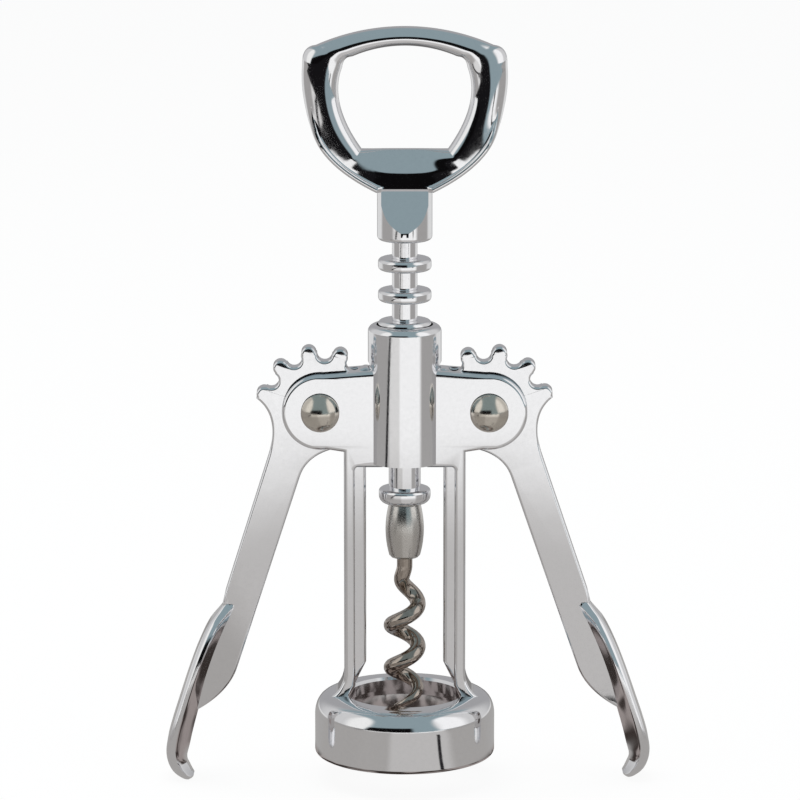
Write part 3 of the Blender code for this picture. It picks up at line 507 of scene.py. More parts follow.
def gear_edge():
    """(out, down) points of teeth and valleys, from the stem's side round to the outer ear."""
    points = []
    tip_centre = tip_radius - tooth_width / 2
    valley_centre = root_radius + tooth_valley_width / 2
    for tooth in range(tooth_count):
        turn = first_tooth_turn + tooth * tooth_angle
        centre = (-tip_centre * math.sin(turn), tip_centre * math.cos(turn))
        heading = math.atan2(centre[1], centre[0])
        last = tooth == tooth_count - 1
        points += arc(centre, tooth_width / 2, heading - quarter_turn,
                      heading + (ear_turn if last else quarter_turn), tooth_steps)
        if not last:
            turn += tooth_angle / 2
            centre = (-valley_centre * math.sin(turn), valley_centre * math.cos(turn))
            inward = math.atan2(centre[1], centre[0]) - math.pi
            points += arc(centre, tooth_valley_width / 2, inward + quarter_turn, inward - quarter_turn,
                          tooth_steps)
    return points


def lever_outline():
    """(out, down) points of the lever's flat part: head, arm and the web behind the paddle."""
    root_turn = first_tooth_turn - tooth_angle / 2
    first_root = (-root_radius * math.sin(root_turn), root_radius * math.cos(root_turn))
    arm_outer_end = arm_outer - arm_taper
    neck = bend((ear_out, ear_drop), (arm_outer, neck_corner_drop), (arm_outer, arm_start), neck_steps)
    paddle_back = bend((arm_outer_end, paddle_start), (arm_outer_end - paddle_crown, web_heel),
                       (web_end_out, web_end), arm_curve_steps)
    heel = bend((paddle_out - paddle_spine, web_end), (-arm_inner, (web_heel + web_end) / 2),
                (-arm_inner, web_heel), arm_curve_steps)
    throat = bend((-arm_inner, throat_start), (-arm_inner, throat_corner_drop),
                  (-throat_in, throat_drop), arm_curve_steps)
    return gear_edge() + neck + paddle_back + heel + throat + [first_root]


def loft(name, sections, closed=False):
    """A body through a row of closed sections with equally many points, capped or closed to a hoop."""
    shape = bmesh.new()
    rings = [[shape.verts.new(point) for point in section] for section in sections]
    count = len(rings[0])
    for ring, following in zip(rings, rings[1:] + (rings[:1] if closed else [])):
        for index in range(count):
            beside = (index + 1) % count
            shape.faces.new((ring[index], ring[beside], following[beside], following[index]))
    if not closed:
        shape.faces.new(rings[0])
        shape.faces.new(rings[-1])
    return new_piece(shape, name)


def paddle_sections(side):
    """Closed sections across the paddle, each square to its edge line."""
    rows = smooth_row(paddle_shares, paddle_row_steps)
    line = [Vector((out_share * paddle_out, paddle_start + down_share * paddle_length))
            for down_share, out_share, *_ in rows]
    half_section = (smooth_row(crown_section_shares, paddle_section_steps)
                    + smooth_row(spine_section_shares, paddle_section_steps))
    sections = []
    for index, (_, _, depth_share, crown_share, spine_share) in enumerate(rows):
        before = line[max(index - 1, 0)]
        after = line[min(index + 1, len(line) - 1)]
        along = (after - before).normalized()
        outward = Vector((along.y, -along.x))
        front = []
        for across, rise in half_section:
            height = crown_share * paddle_crown if rise > 0 else spine_share * paddle_spine
            out, down = line[index] + outward * (rise * height)
            front.append((side * out, across * depth_share * paddle_depth / 2, -down))
        back = [(x, -y, z) for x, y, z in reversed(front[1:])]
        sections.append(front + back)
    return sections


for side_name, side in both_sides:
    outline = [(side * out, -down) for out, down in lever_outline()]
    lever = plate("lever_casting_" + side_name, lever_thickness, outline, lever_edge)
    paddle = loft("paddle_" + side_name, paddle_sections(side))
    pin_hole = rod_along_y("pin_hole", pin_radius + seat_gap, 2 * lever_thickness, pin_hole_steps, (0, 0))
    join_and_cut(lever, [paddle], [pin_hole])
    lean = Matrix.Rotation(-side * lever_lean - lever_play, 4, 'Y')
    lever.data.transform(Matrix.Translation((side * pivot_out, 0, pivot_up)) @ lean)
    settle(lever, wavy_chrome, "lever_" + side_name, ["lever_" + side_name])

# The rack stem is turned steel, chrome plated: seven rings that mesh with the teeth, a plain shank
# and the stop collar. Its top is fixed in the handle's socket.
stem_radius = 0.00293
stem_seat_up = 0.1300
ring_radius = 0.00615
ring_thickness = 0.0028
ring_edge = 0.0009
shank_radius = 0.0037
shank_top_drop = 0.0030
collar_up = 0.0616
collar_radius = 0.0060
collar_thickness = 0.0036
collar_top_edge = 0.0008
ring_steps = 96
ring_edge_steps = 6
collar_round_steps = 12
lowest_ring_turn = first_tooth_turn - quarter_turn - lever_lean - tooth_angle / 2
lowest_ring_up = pivot_up + pitch_radius * lowest_ring_turn


def node_tree_with(name, inputs):
    """A Geometry Nodes tree with named size inputs, and the sockets of those inputs by name."""
    tree = bpy.data.node_groups.new(name, 'GeometryNodeTree')
    tree.interface.new_socket("Geometry", in_out='OUTPUT', socket_type='NodeSocketGeometry')
    for input_name, kind in inputs:
        tree.interface.new_socket(input_name, in_out='INPUT', socket_type=kind)
    return tree, tree.nodes.new("NodeGroupInput").outputs


def made_by_nodes(name, tree, values):
    """A plain mesh object from a Geometry Nodes tree, with its inputs set by their identifiers."""
    piece = bpy.data.objects.new(name, bpy.data.meshes.new(name))
    bpy.context.scene.collection.objects.link(piece)
    modifier = piece.modifiers.new(name, 'NODES')
    modifier.node_group = tree
    for item in tree.interface.items_tree:
        if item.in_out == 'INPUT' and item.name in values:
            modifier[item.identifier] = values[item.name]
    make_plain(piece)
    return piece


ring_tree, ring_sizes = node_tree_with("rack_rings", [
    ("Rings", 'NodeSocketInt'), ("Pitch", 'NodeSocketFloat'), ("Lowest ring", 'NodeSocketFloat'),
    ("Bore radius", 'NodeSocketFloat'), ("Edge", 'NodeSocketFloat'), ("Ring radius", 'NodeSocketFloat'),
    ("Thickness", 'NodeSocketFloat')])
ring_width = add_node(ring_tree, "ShaderNodeMath", {"operation": 'SUBTRACT'},
                      n0=ring_sizes["Ring radius"], n1=ring_sizes["Bore radius"]).outputs[0]
ring_middle = add_node(ring_tree, "ShaderNodeMath", {"operation": 'MULTIPLY_ADD'}, n0=ring_width, n1=0.5,
                       n2=ring_sizes["Bore radius"]).outputs[0]
ring_section = add_node(ring_tree, "GeometryNodeCurvePrimitiveQuadrilateral", Width=ring_width,
                        Height=ring_sizes["Thickness"]).outputs["Curve"]
ring_section = add_node(ring_tree, "GeometryNodeFilletCurve", {"mode": 'POLY'}, Curve=ring_section,
                        Count=ring_edge_steps, Radius=ring_sizes["Edge"]).outputs["Curve"]
ring_path = add_node(ring_tree, "GeometryNodeCurvePrimitiveCircle", Resolution=ring_steps,
                     Radius=ring_middle).outputs["Curve"]
ring_body = add_node(ring_tree, "GeometryNodeCurveToMesh", Curve=ring_path,
                     Profile_Curve=ring_section).outputs["Mesh"]
ring_lowest = add_node(ring_tree, "ShaderNodeCombineXYZ", Z=ring_sizes["Lowest ring"]).outputs[0]
ring_step = add_node(ring_tree, "ShaderNodeCombineXYZ", Z=ring_sizes["Pitch"]).outputs[0]
ring_places = add_node(ring_tree, "GeometryNodeMeshLine", Count=ring_sizes["Rings"],
                       Start_Location=ring_lowest, Offset=ring_step).outputs["Mesh"]
ring_copies = add_node(ring_tree, "GeometryNodeInstanceOnPoints", Points=ring_places,
                       Instance=ring_body).outputs["Instances"]
ring_mesh = add_node(ring_tree, "GeometryNodeRealizeInstances", Geometry=ring_copies).outputs["Geometry"]
ring_mesh = add_node(ring_tree, "GeometryNodeSetMaterial", Geometry=ring_mesh,
                     Material=chrome_plate).outputs["Geometry"]
add_node(ring_tree, "NodeGroupOutput", Geometry=ring_mesh)
rings = made_by_nodes("rack_rings", ring_tree, {
    "Rings": tooth_count, "Pitch": rack_pitch, "Lowest ring": lowest_ring_up,
    "Bore radius": stem_radius - seat_gap, "Edge": ring_edge, "Ring radius": ring_radius,
    "Thickness": ring_thickness})
collar_round = collar_thickness / 2
collar_top = collar_up + collar_round
collar_bottom = collar_up - collar_round
shank_top = lowest_ring_up - shank_top_drop
stem_profile = ([(0, stem_seat_up), (stem_radius, stem_seat_up), (stem_radius, shank_top),
                 (shank_radius, shank_top - ring_edge / 2), (shank_radius, collar_top)]
                + arc((collar_radius - collar_top_edge, collar_top - collar_top_edge), collar_top_edge,
                      quarter_turn, 0, ring_edge_steps)
                + arc((collar_radius - collar_round, collar_bottom + collar_round), collar_round, 0,
                      -quarter_turn, collar_round_steps) + [(0, collar_bottom)])
stem = turned("rack_stem_turned", stem_profile, ring_steps)
join_and_cut(stem, [rings], [])
settle(stem, chrome_plate, "stem", ["rack_stem"])

# The ferrule is a bare steel sleeve, turned to a slight barrel shape and pressed over the worm's
# shank and the stem's spigot.
ferrule_length = 0.0126
ferrule_top_radius = 0.0037
ferrule_radius = 0.00445
ferrule_foot_radius = 0.0036
ferrule_edge = 0.0005
ferrule_side_steps = 28
ferrule_steps = 96
wire_radius = 0.0018
# Drawn steel, left bare: a satin grey with a fine grain
drawn_steel = metal_finish("drawn_steel", ("#DBD8D4", "#C9C5C0"), roughness=0.24, streak_mm=0.3,
                           streak_share=0.35, wave_mm=1.2, wave_height_mm=0.002)
ferrule_top = collar_bottom - seat_gap
ferrule_bottom = ferrule_top - ferrule_length
ferrule_middle_radius = 2 * ferrule_radius - (ferrule_top_radius + ferrule_foot_radius) / 2
ferrule_profile = (bend((ferrule_top_radius, ferrule_top),
                        (ferrule_middle_radius, (ferrule_top + ferrule_bottom) / 2),
                        (ferrule_foot_radius, ferrule_bottom + ferrule_edge), ferrule_side_steps)
                   + [(ferrule_foot_radius - ferrule_edge, ferrule_bottom),
                      (wire_radius + seat_gap, ferrule_bottom), (wire_radius + seat_gap, ferrule_top)])
ferrule = turned("ferrule_sleeve", ferrule_profile, ferrule_steps, closed=True)
settle(ferrule, drawn_steel, "handle", ["worm_ferrule"])

# The worm is a hardened steel wire, wound to the right, polished by use, and ground to a point. Its
# straight shank is pressed into the ferrule.
coil_radius = 0.0031
coil_pitch = 0.0102
coil_top = 0.0355
coil_lead_in = 0.0095
coil_lead_in_turns = 0.6
coil_end = 0.0105
worm_point_length = 0.0075
worm_point_share = 0.06
worm_points = 420
wire_steps = 28
# Bright wire with a brownish cast where it has been drawn through corks
worm_wire = metal_finish("polished_worm_wire", ("#CDC3B9", "#8C8178"), roughness=0.10, streak_mm=0.7,
                         streak_share=0.3, wave_mm=1.6, wave_height_mm=0.010)
worm_tree, worm_sizes = node_tree_with("worm_coil", [
    ("Points", 'NodeSocketInt'), ("Top", 'NodeSocketFloat'), ("End", 'NodeSocketFloat'),
    ("Coil top", 'NodeSocketFloat'), ("Lead in", 'NodeSocketFloat'), ("Coil radius", 'NodeSocketFloat'),
    ("Pitch", 'NodeSocketFloat'), ("Lead in turns", 'NodeSocketFloat'), ("Wire radius", 'NodeSocketFloat'),
    ("Point length", 'NodeSocketFloat'), ("Point share", 'NodeSocketFloat')])
worm_start = add_node(worm_tree, "ShaderNodeCombineXYZ", Z=worm_sizes["Top"]).outputs[0]
worm_stop = add_node(worm_tree, "ShaderNodeCombineXYZ", Z=worm_sizes["End"]).outputs[0]
worm_line = add_node(worm_tree, "GeometryNodeCurvePrimitiveLine", Start=worm_start,
                     End=worm_stop).outputs["Curve"]
worm_line = add_node(worm_tree, "GeometryNodeResampleCurve", {"mode": 'COUNT'}, Curve=worm_line,
                     Count=worm_sizes["Points"]).outputs["Curve"]
worm_place = add_node(worm_tree, "GeometryNodeInputPosition").outputs[0]
worm_up = add_node(worm_tree, "ShaderNodeSeparateXYZ", Vector=worm_place).outputs["Z"]
worm_above = add_node(worm_tree, "ShaderNodeMath", {"operation": 'SUBTRACT'}, n0=worm_up,
                      n1=worm_sizes["Coil top"]).outputs[0]
lead_share = add_node(worm_tree, "ShaderNodeMapRange", {"interpolation_type": 'SMOOTHSTEP'},
                      Value=worm_above, n1=0.0, n2=worm_sizes["Lead in"], n3=1.0, n4=0.0).outputs[0]
worm_spread = add_node(worm_tree, "ShaderNodeMath", {"operation": 'MULTIPLY'}, n0=lead_share,
                       n1=worm_sizes["Coil radius"]).outputs[0]
below_lead = add_node(worm_tree, "ShaderNodeMath", {"operation": 'MINIMUM'}, n0=worm_above,
                      n1=0.0).outputs[0]
in_lead = add_node(worm_tree, "ShaderNodeMath", {"operation": 'MAXIMUM'}, n0=worm_above, n1=0.0).outputs[0]
lead_part = add_node(worm_tree, "ShaderNodeMath", {"operation": 'DIVIDE'}, n0=in_lead,
                     n1=worm_sizes["Lead in"]).outputs[0]
turns_below = add_node(worm_tree, "ShaderNodeMath", {"operation": 'DIVIDE'}, n0=below_lead,
                       n1=worm_sizes["Pitch"]).outputs[0]
worm_turns = add_node(worm_tree, "ShaderNodeMath", {"operation": 'MULTIPLY_ADD'}, n0=lead_part,
                      n1=worm_sizes["Lead in turns"], n2=turns_below).outputs[0]
worm_angle = add_node(worm_tree, "ShaderNodeMath", {"operation": 'MULTIPLY'}, n0=worm_turns,
                      n1=full_turn).outputs[0]
worm_places = {}
for axis, wave in (("X", 'COSINE'), ("Y", 'SINE')):
    wave_height = add_node(worm_tree, "ShaderNodeMath", {"operation": wave}, n0=worm_angle).outputs[0]
    worm_places[axis] = add_node(worm_tree, "ShaderNodeMath", {"operation": 'MULTIPLY'}, n0=worm_spread,
                                 n1=wave_height).outputs[0]
worm_on_coil = add_node(worm_tree, "ShaderNodeCombineXYZ", Z=worm_up, **worm_places).outputs[0]
worm_curve = add_node(worm_tree, "GeometryNodeSetPosition", Geometry=worm_line,
                      Position=worm_on_coil).outputs["Geometry"]
above_end = add_node(worm_tree, "ShaderNodeMath", {"operation": 'SUBTRACT'}, n0=worm_up,
                     n1=worm_sizes["End"]).outputs[0]
point_part = add_node(worm_tree, "ShaderNodeMath", {"operation": 'DIVIDE', "use_clamp": True}, n0=above_end,
                      n1=worm_sizes["Point length"]).outputs[0]
point_round = add_node(worm_tree, "ShaderNodeMath", {"operation": 'SQRT'}, n0=point_part).outputs[0]
worm_thickness = add_node(worm_tree, "ShaderNodeMath", {"operation": 'MAXIMUM'}, n0=point_round,
                          n1=worm_sizes["Point share"]).outputs[0]
worm_section = add_node(worm_tree, "GeometryNodeCurvePrimitiveCircle", Resolution=wire_steps,
                        Radius=worm_sizes["Wire radius"]).outputs["Curve"]
worm_body = add_node(worm_tree, "GeometryNodeCurveToMesh", Curve=worm_curve, Profile_Curve=worm_section,
                     Scale=worm_thickness, Fill_Caps=True).outputs["Mesh"]
worm_body = add_node(worm_tree, "GeometryNodeRealizeInstances", Geometry=worm_body).outputs["Geometry"]
worm_body = add_node(worm_tree, "GeometryNodeSetMaterial", Geometry=worm_body,
                     Material=worm_wire).outputs["Geometry"]
add_node(worm_tree, "NodeGroupOutput", Geometry=worm_body)
worm = made_by_nodes("worm_wire", worm_tree, {
    "Points": worm_points, "Top": ferrule_bottom + coil_pitch / 2, "End": coil_end, "Coil top": coil_top,
    "Lead in": coil_lead_in, "Coil radius": coil_radius, "Pitch": coil_pitch,
    "Lead in turns": coil_lead_in_turns, "Wire radius": wire_radius, "Point length": worm_point_length,
    "Point share": worm_point_share})
settle(worm, worm_wire, "handle", ["worm"], sharp_angle=math.radians(50))

# The handle is one chrome-plated zinc casting: a limb of rounded section round the opener's hole,
# with a bead round the outside of its lower half, a thin lip that takes the crown cap, and a round
# socket that is scooped out to a tongue in front and behind.
socket_radius = 0.00635
socket_bottom = 0.1218
socket_edge = 0.0010
neck_up = 0.1332
neck_out = 0.0066
bow_top = 0.1711
bow_top_radius = 0.0500
bow_corner_out = 0.0203
bow_corner_tip = (0.0236, 0.1665)
bow_side_top = (0.0234, 0.1623)
bow_side_bulge = (0.0241, 0.1550)
bow_hip = (0.0209, 0.1461)
bow_lower = (0.0178, 0.1387)
bow_middle_up = 0.1545
crest_depth_at_top = 0.0031
crest_depth_at_neck = 0.0034
bead_depth = 0.0040
bow_rays = 150
bow_top_steps = 60
bow_corner_steps = 40
bow_side_steps = 60
hole_top_steps = 50
hole_corner_steps = 30
bead_steps = 12
face_steps = 34
crest_share = 0.54
outer_round = 2.0
inner_round = 2.35
bead_width = 0.0014
bead_fillet = 0.0003
bead_slope = 3
bead_rise_turn = math.radians(34)
face_crown = 0.00018
hole_top = 0.1667
hole_top_radius = 0.0300
hole_corner_out = 0.0120
hole_corner_tip = 0.0140
hole_side_top = (0.0143, 0.1617)
hole_bulge = (0.0174, 0.1535)
hole_floor = (0.0099, 0.1429)
lip_thickness = 0.0023
lip_drop = 0.0053
lip_root_fall = 0.00045
lip_edge = 0.0003
lip_start_turn = math.radians(-4)
lip_full_turn = math.radians(27)
tongue_top = 0.1340
tongue_out = 0.0054
tongue_notch = 0.0013
tongue_bottom = 0.1239
scoop_steps = 6
socket_edge_steps = 8
socket_steps = 128
stem_hole_steps = 48
# Shares of the tongue's drop and of the way out from its notch to the socket's wall
tongue_scoop_shares = ((0, 0), (0.20, 0.17), (0.37, 0.31), (0.67, 0.63), (0.89, 0.92), (1, 1))


def bow_outline():
    """Right half of the bow, clockwise from the middle of its top to the middle of its neck."""
    reach = math.asin(bow_corner_out / bow_top_radius)
    top = arc((0, bow_top - bow_top_radius), bow_top_radius, quarter_turn, quarter_turn - reach,
              bow_top_steps)
    corner = bend(top[-1], bow_corner_tip, bow_side_top, bow_corner_steps)
    side_run = bend(corner[-1], bow_side_bulge, bow_hip, bow_side_steps)
    lower = bend(side_run[-1], bow_lower, (neck_out, neck_up), bow_side_steps)
    return top + corner[1:] + side_run[1:] + lower[1:] + [(0, neck_up)]


def hole_outline():
    """Right half of the bow's hole, clockwise, to the middle of its flat floor."""
    reach = math.asin(hole_corner_out / hole_top_radius)
    top = arc((0, hole_top - hole_top_radius), hole_top_radius, quarter_turn, quarter_turn - reach,
              hole_top_steps)
    corner = bend(top[-1], (hole_corner_tip, top[-1][1]), hole_side_top, hole_corner_steps)
    side_run = bend(corner[-1], hole_bulge, hole_floor, bow_side_steps)
    return top + corner[1:] + side_run[1:] + [(0, hole_floor[1])]


def ray_angle(out, up):
    """The angle, from straight up, of the ray from the bow's middle through a point."""
    return math.pi - math.atan2(out, bow_middle_up - up)


def along_ray(outline, angle):
    """(out, up) where the ray from the bow's middle at an angle meets a half outline."""
    ray_out, ray_up = math.sin(angle), math.cos(angle)
    best = (1, (0, 0))
    for (first_out, first_up), (second_out, second_up) in zip(outline, outline[1:]):
        start = ray_out * (first_up - bow_middle_up) - ray_up * first_out
        end = ray_out * (second_up - bow_middle_up) - ray_up * second_out
        share = max(0, min(1, start / (start - end))) if start != end else 0
        out = first_out + (second_out - first_out) * share
        up = first_up + (second_up - first_up) * share
        miss = abs(ray_out * (up - bow_middle_up) - ray_up * out)
        behind = ray_out * out + ray_up * (up - bow_middle_up) < 0
        if not behind and miss < best[0]:
            best = (miss, (out, up))
    return best[1]


def ease(value, low, high):
    """0 below low, 1 above high, and a smooth climb between."""
    share = max(0, min(1, (value - low) / (high - low)))
    return share * share * (3 - 2 * share)


def half_depth(share, width, up, beaded, bead_share, lip_share):
    """Half the bow's depth at a share of the way from its outer wall to its hole."""
    # The limb's rounded section, and the nearly flat face between bead and crest
    crest = crest_depth_at_neck + ((crest_depth_at_top - crest_depth_at_neck)
                                   * (up - neck_up) / (bow_top - neck_up))
    before_crest = max(0, (crest_share - share) / crest_share)
    past_crest = max(0, (share - crest_share) / (1 - crest_share))
    limb = crest * ((1 - before_crest ** outer_round) ** (1 / outer_round) if before_crest
                    else (1 - past_crest ** inner_round) ** (1 / inner_round))
    face = limb if past_crest else crest - face_crown * bead_share * before_crest ** 2
    # The lip, which leans back and thins towards the hole
    from_hole = (1 - share) * width
    lip_root = crest - lip_root_fall
    tip = lip_thickness / 2
    if from_hole < lip_drop:
        leaning = tip + (lip_root - tip) * from_hole / lip_drop
        near_edge = max(0, lip_edge - from_hole)
        leaning -= lip_edge - math.sqrt(lip_edge ** 2 - near_edge ** 2)
    else:
        leaning = min(crest, lip_root + lip_root_fall * (from_hole - lip_drop) / lip_drop)
    face += (leaning - face) * lip_share
    # The bead on the outer wall, with a fillet at its foot
    bead_round = bead_width / 2
    off_middle = share * width - bead_round
    if off_middle < bead_round:
        bead = bead_depth - bead_round + math.sqrt(max(0, bead_round ** 2 - off_middle ** 2))
    else:
        bead = bead_depth - bead_round - bead_slope * (off_middle - bead_round)
    bead = face + (bead - face) * bead_share
    near = max(0, 1 - abs(bead - face) / bead_fillet)
    face = max(face, bead) + bead_fillet * near ** 2 / 4 * bead_share
    return limb + (face - limb) * beaded


def bow_mesh():
    """The bow as one closed hoop of sections, mirrored left and right, front and back."""
    outer, inner = bow_outline(), hole_outline()
    neck_turn = ray_angle(neck_out, neck_up)
    bead_foot_turn = ray_angle(neck_out - bead_width, neck_up)
    floor_turn = ray_angle(*hole_floor)
    marked = [neck_turn, bead_foot_turn, floor_turn]
    step_turn = math.pi / bow_rays
    turns = sorted(marked + [step_turn * step for step in range(bow_rays + 1)
                             if min(abs(step_turn * step - other) for other in marked) > step_turn / 3])
    right = []
    for turn in turns:
        wall, rim = along_ray(outer, turn), along_ray(inner, turn)
        width = math.dist(wall, rim)
        beaded = ease(turn, quarter_turn, quarter_turn + bead_rise_turn)
        bead_share = 1 - ease(turn, neck_turn, bead_foot_turn)
        lip_share = ease(turn, floor_turn + lip_start_turn, floor_turn + lip_full_turn)
        bead_part = bead_width / width
        shares = [bead_part * (1 - math.cos(math.pi * step / bead_steps)) / 2
                  for step in range(1, bead_steps)]
        shares += [bead_part + (1 - bead_part) * math.sin(quarter_turn * step / face_steps)
                   for step in range(face_steps)]
        section = [(wall[0], 0, wall[1])]
        for share in shares:
            out, up = (start + (end - start) * share for start, end in zip(wall, rim))
            section.append((out, half_depth(share, width, up, beaded, bead_share, lip_share), up))
        section.append((rim[0], 0, rim[1]))
        right.append(section)
    left = [[(-x, y, z) for x, y, z in section] for section in reversed(right[1:-1])]
    hoop = [[(x, -y, z) for x, y, z in section] + section[-2:0:-1] for section in right + left]
    return loft("opener_handle", hoop, closed=True)


def wedge(name, corners, half_width):
    """A prism along X from (depth, up) corners in the YZ plane."""
    return loft(name, [[(across, depth, up) for depth, up in corners]
                       for across in (-half_width, half_width)])


socket_profile = ([(0, tongue_top), (socket_radius, tongue_top)]
                  + arc((socket_radius - socket_edge, socket_bottom + socket_edge), socket_edge, 0,
                        -quarter_turn, socket_edge_steps) + [(0, socket_bottom)])
handle = bow_mesh()
neck_width = hole_floor[1] - neck_up
crease_depth = half_depth(1 - (hole_floor[1] - tongue_top) / neck_width, neck_width, tongue_top, 1, 0, 1)
notch_depth = crease_depth - tongue_notch
clear_depth = socket_radius + overrun
scoop = [(notch_depth + (socket_radius - notch_depth) * out_share,
          tongue_top - (tongue_top - tongue_bottom) * down_share)
         for down_share, out_share in smooth_row(tongue_scoop_shares, scoop_steps)]
scoop += [(clear_depth, tongue_bottom), (clear_depth, tongue_top)]
tongues = []
for face_name, facing in (("front", -1), ("back", 1)):
    tongues.append(wedge("tongue_" + face_name, [(facing * depth, up) for depth, up in scoop], tongue_out))
stem_hole = drill("stem_hole", stem_radius + seat_gap, stem_seat_up + seat_gap, socket_bottom - overrun,
                  stem_hole_steps)
join_and_cut(handle, [turned("socket", socket_profile, socket_steps)], tongues + [stem_hole])
settle(handle, chrome_plate, "handle", ["handle"], sharp_angle=math.radians(14))

# The floor is a white table sheet. The camera sees it white, with the tool's soft shadow. Metal
# mirrors its greys, painted shade near the tool and under the bell, the dark tapes on it, and the room
# beyond its front edge.
floor_size = 12.0
sheet_front = -0.755
camera_share = 0.93
# Where a tone is clear and where it is full, in metres from the tool, or along Y for front_edge
painted_shade_near_tool_reach = (0.22, 0.41)
grey_reach = (0.15, 0.42)
painted_shade_under_bell_reach = (0.042, 0.034)
front_edge = (sheet_front + 0.02, sheet_front - 0.04)
# The same in degrees off straight ahead, where left_turn counts to the left only and room_turn
# to the right only
left_turn = (12, 20)
grey_turn = (44, 57)
beside_turn = (102, 120)
behind_turn = (146, 172)
room_turn = (8, 14)
# The long tape bends by this many radians for each metre, from its direction at the tool
long_tape_bend = 1.12
long_tape_turn = math.radians(-82)
patch_mm = 16.13
patch_blur = (0.44, 0.56)
floor_shape = bmesh.new()
bmesh.ops.create_grid(floor_shape, x_segments=1, y_segments=1, size=floor_size / 2)
floor = new_piece(floor_shape, "floor")
if floor.data.polygons[0].normal.z < 0:
    floor.data.flip_normals()
floor_paint = bpy.data.materials.new("white_table_sheet")
floor_paint.use_nodes = True
floor_tree = floor_paint.node_tree
floor_tree.nodes.clear()


def laid_over(tree, under, over, *edges):
    """A colour with another laid over it, inside soft edges of (value, where clear, where full)."""
    share = 1.0
    for value, clear, full in edges:
        share = add_node(tree, "ShaderNodeMapRange", {"interpolation_type": 'SMOOTHSTEP'}, Value=value,
                         n1=clear, n2=full, n3=0.0, n4=share).outputs[0]
    return add_node(tree, "ShaderNodeMix", {"data_type": 'RGBA'}, n0=share, n6=under, n7=over).outputs[2]


floor_point = add_node(floor_tree, "ShaderNodeTexCoord").outputs["Object"]
floor_place = add_node(floor_tree, "ShaderNodeSeparateXYZ", Vector=floor_point).outputs
away = add_node(floor_tree, "ShaderNodeVectorMath", {"operation": 'LENGTH'},
                n0=floor_point).outputs["Value"]
ahead = add_node(floor_tree, "ShaderNodeMath", {"operation": 'MULTIPLY'}, n0=floor_place["Y"],
                 n1=-1.0).outputs[0]
side_of = add_node(floor_tree, "ShaderNodeMath", {"operation": 'ARCTAN2'}, n0=floor_place["X"],
                   n1=ahead).outputs[0]
off_middle = add_node(floor_tree, "ShaderNodeMath", {"operation": 'ABSOLUTE'}, n0=side_of).outputs[0]
to_left = add_node(floor_tree, "ShaderNodeMath", {"operation": 'MULTIPLY'}, n0=side_of, n1=-1.0).outputs[0]
# Painted shade: the sheet is drawn darker near the tool, as in the tool's shade, and only the metal mirrors
# it
painted_shade_near_tool = laid_over(floor_tree, linear("#C3C1BF"), linear("#FFFFFE"), (away, *painted_shade_near_tool_reach))
grey_side = laid_over(floor_tree, linear("#E0DFDE"), linear("#A6A4A3"), (away, *grey_reach))
side_tone = linear("#FFFFFF")
for turn_value, turns, tone in ((to_left, left_turn, linear("#E2E1E0")),
                                (off_middle, grey_turn, grey_side),
                                (off_middle, beside_turn, linear("#E2E2E2")),
                                (off_middle, behind_turn, linear("#8E8D8E"))):
    side_tone = laid_over(floor_tree, side_tone, tone, (turn_value, *map(math.radians, turns)))
sheet_tone = add_node(floor_tree, "ShaderNodeMix", {"data_type": 'RGBA', "blend_type": 'MULTIPLY'}, n0=1.0,
                      n6=painted_shade_near_tool, n7=side_tone).outputs[2]
# The tapes draw the fine lines down the barrel, the socket and the bell. Each has its direction off
# straight ahead, its half width, both in radians, and the stretches that it covers, in metres.
long_tape = add_node(floor_tree, "ShaderNodeMath", {"operation": 'MULTIPLY_ADD'}, n0=away,
                     n1=long_tape_bend, n2=long_tape_turn).outputs[0]
for tape_turn, half_width, stretches in (
        (long_tape, (0.085, 0.045), ((0.26, 0.34),)),
        (math.radians(35), (0.060, 0.030), ((0.68, 0.74),)),
        (math.radians(38), (0.045, 0.022), ((0.034, 0.040), (0.100, 0.085)))):
    off_tape = add_node(floor_tree, "ShaderNodeMath", {"operation": 'SUBTRACT'}, n0=side_of,
                        n1=tape_turn).outputs[0]
    off_tape = add_node(floor_tree, "ShaderNodeMath", {"operation": 'ABSOLUTE'}, n0=off_tape).outputs[0]
    sheet_tone = laid_over(floor_tree, sheet_tone, linear("#232224"), (off_tape, *half_width),
                           *((away, *stretch) for stretch in stretches))
# Painted shade: the sheet under the bell is drawn dark, as little light reaches it there, and the bell's
# inside mirrors it in brownish patches
patches = add_node(floor_tree, "ShaderNodeTexNoise", Vector=floor_point, Scale=1000 / patch_mm,
                   Detail=1.0).outputs["Fac"]
painted_shade_under_bell = laid_over(floor_tree, linear("#3A3330"), linear("#9A918E"), (patches, *patch_blur))
sheet_tone = laid_over(floor_tree, sheet_tone, painted_shade_under_bell, (away, *painted_shade_under_bell_reach))
room_tone = laid_over(floor_tree, linear("#161517"), linear("#8FA0A6"),
                      (side_of, *map(math.radians, room_turn)))
seen_in_metal = laid_over(floor_tree, sheet_tone, room_tone, (floor_place["Y"], *front_edge))
ray = add_node(floor_tree, "ShaderNodeLightPath").outputs
card_tone = add_node(floor_tree, "ShaderNodeMix", {"data_type": 'RGBA'}, n0=ray["Is Camera Ray"],
                     n6=seen_in_metal, n7=linear("#FFFFFF")).outputs[2]
mirrored_share = add_node(floor_tree, "ShaderNodeMath", {"operation": 'ADD'}, n0=ray["Is Glossy Ray"],
                          n1=ray["Is Transmission Ray"]).outputs[0]
card_share = add_node(floor_tree, "ShaderNodeMath", {"operation": 'MULTIPLY_ADD'}, n0=ray["Is Camera Ray"],
                      n1=camera_share, n2=mirrored_share).outputs[0]
lit_sheet = add_node(floor_tree, "ShaderNodeBsdfDiffuse", Color=linear("#F2F2F2")).outputs[0]
white_card = add_node(floor_tree, "ShaderNodeEmission", Color=card_tone, Strength=1.0).outputs[0]
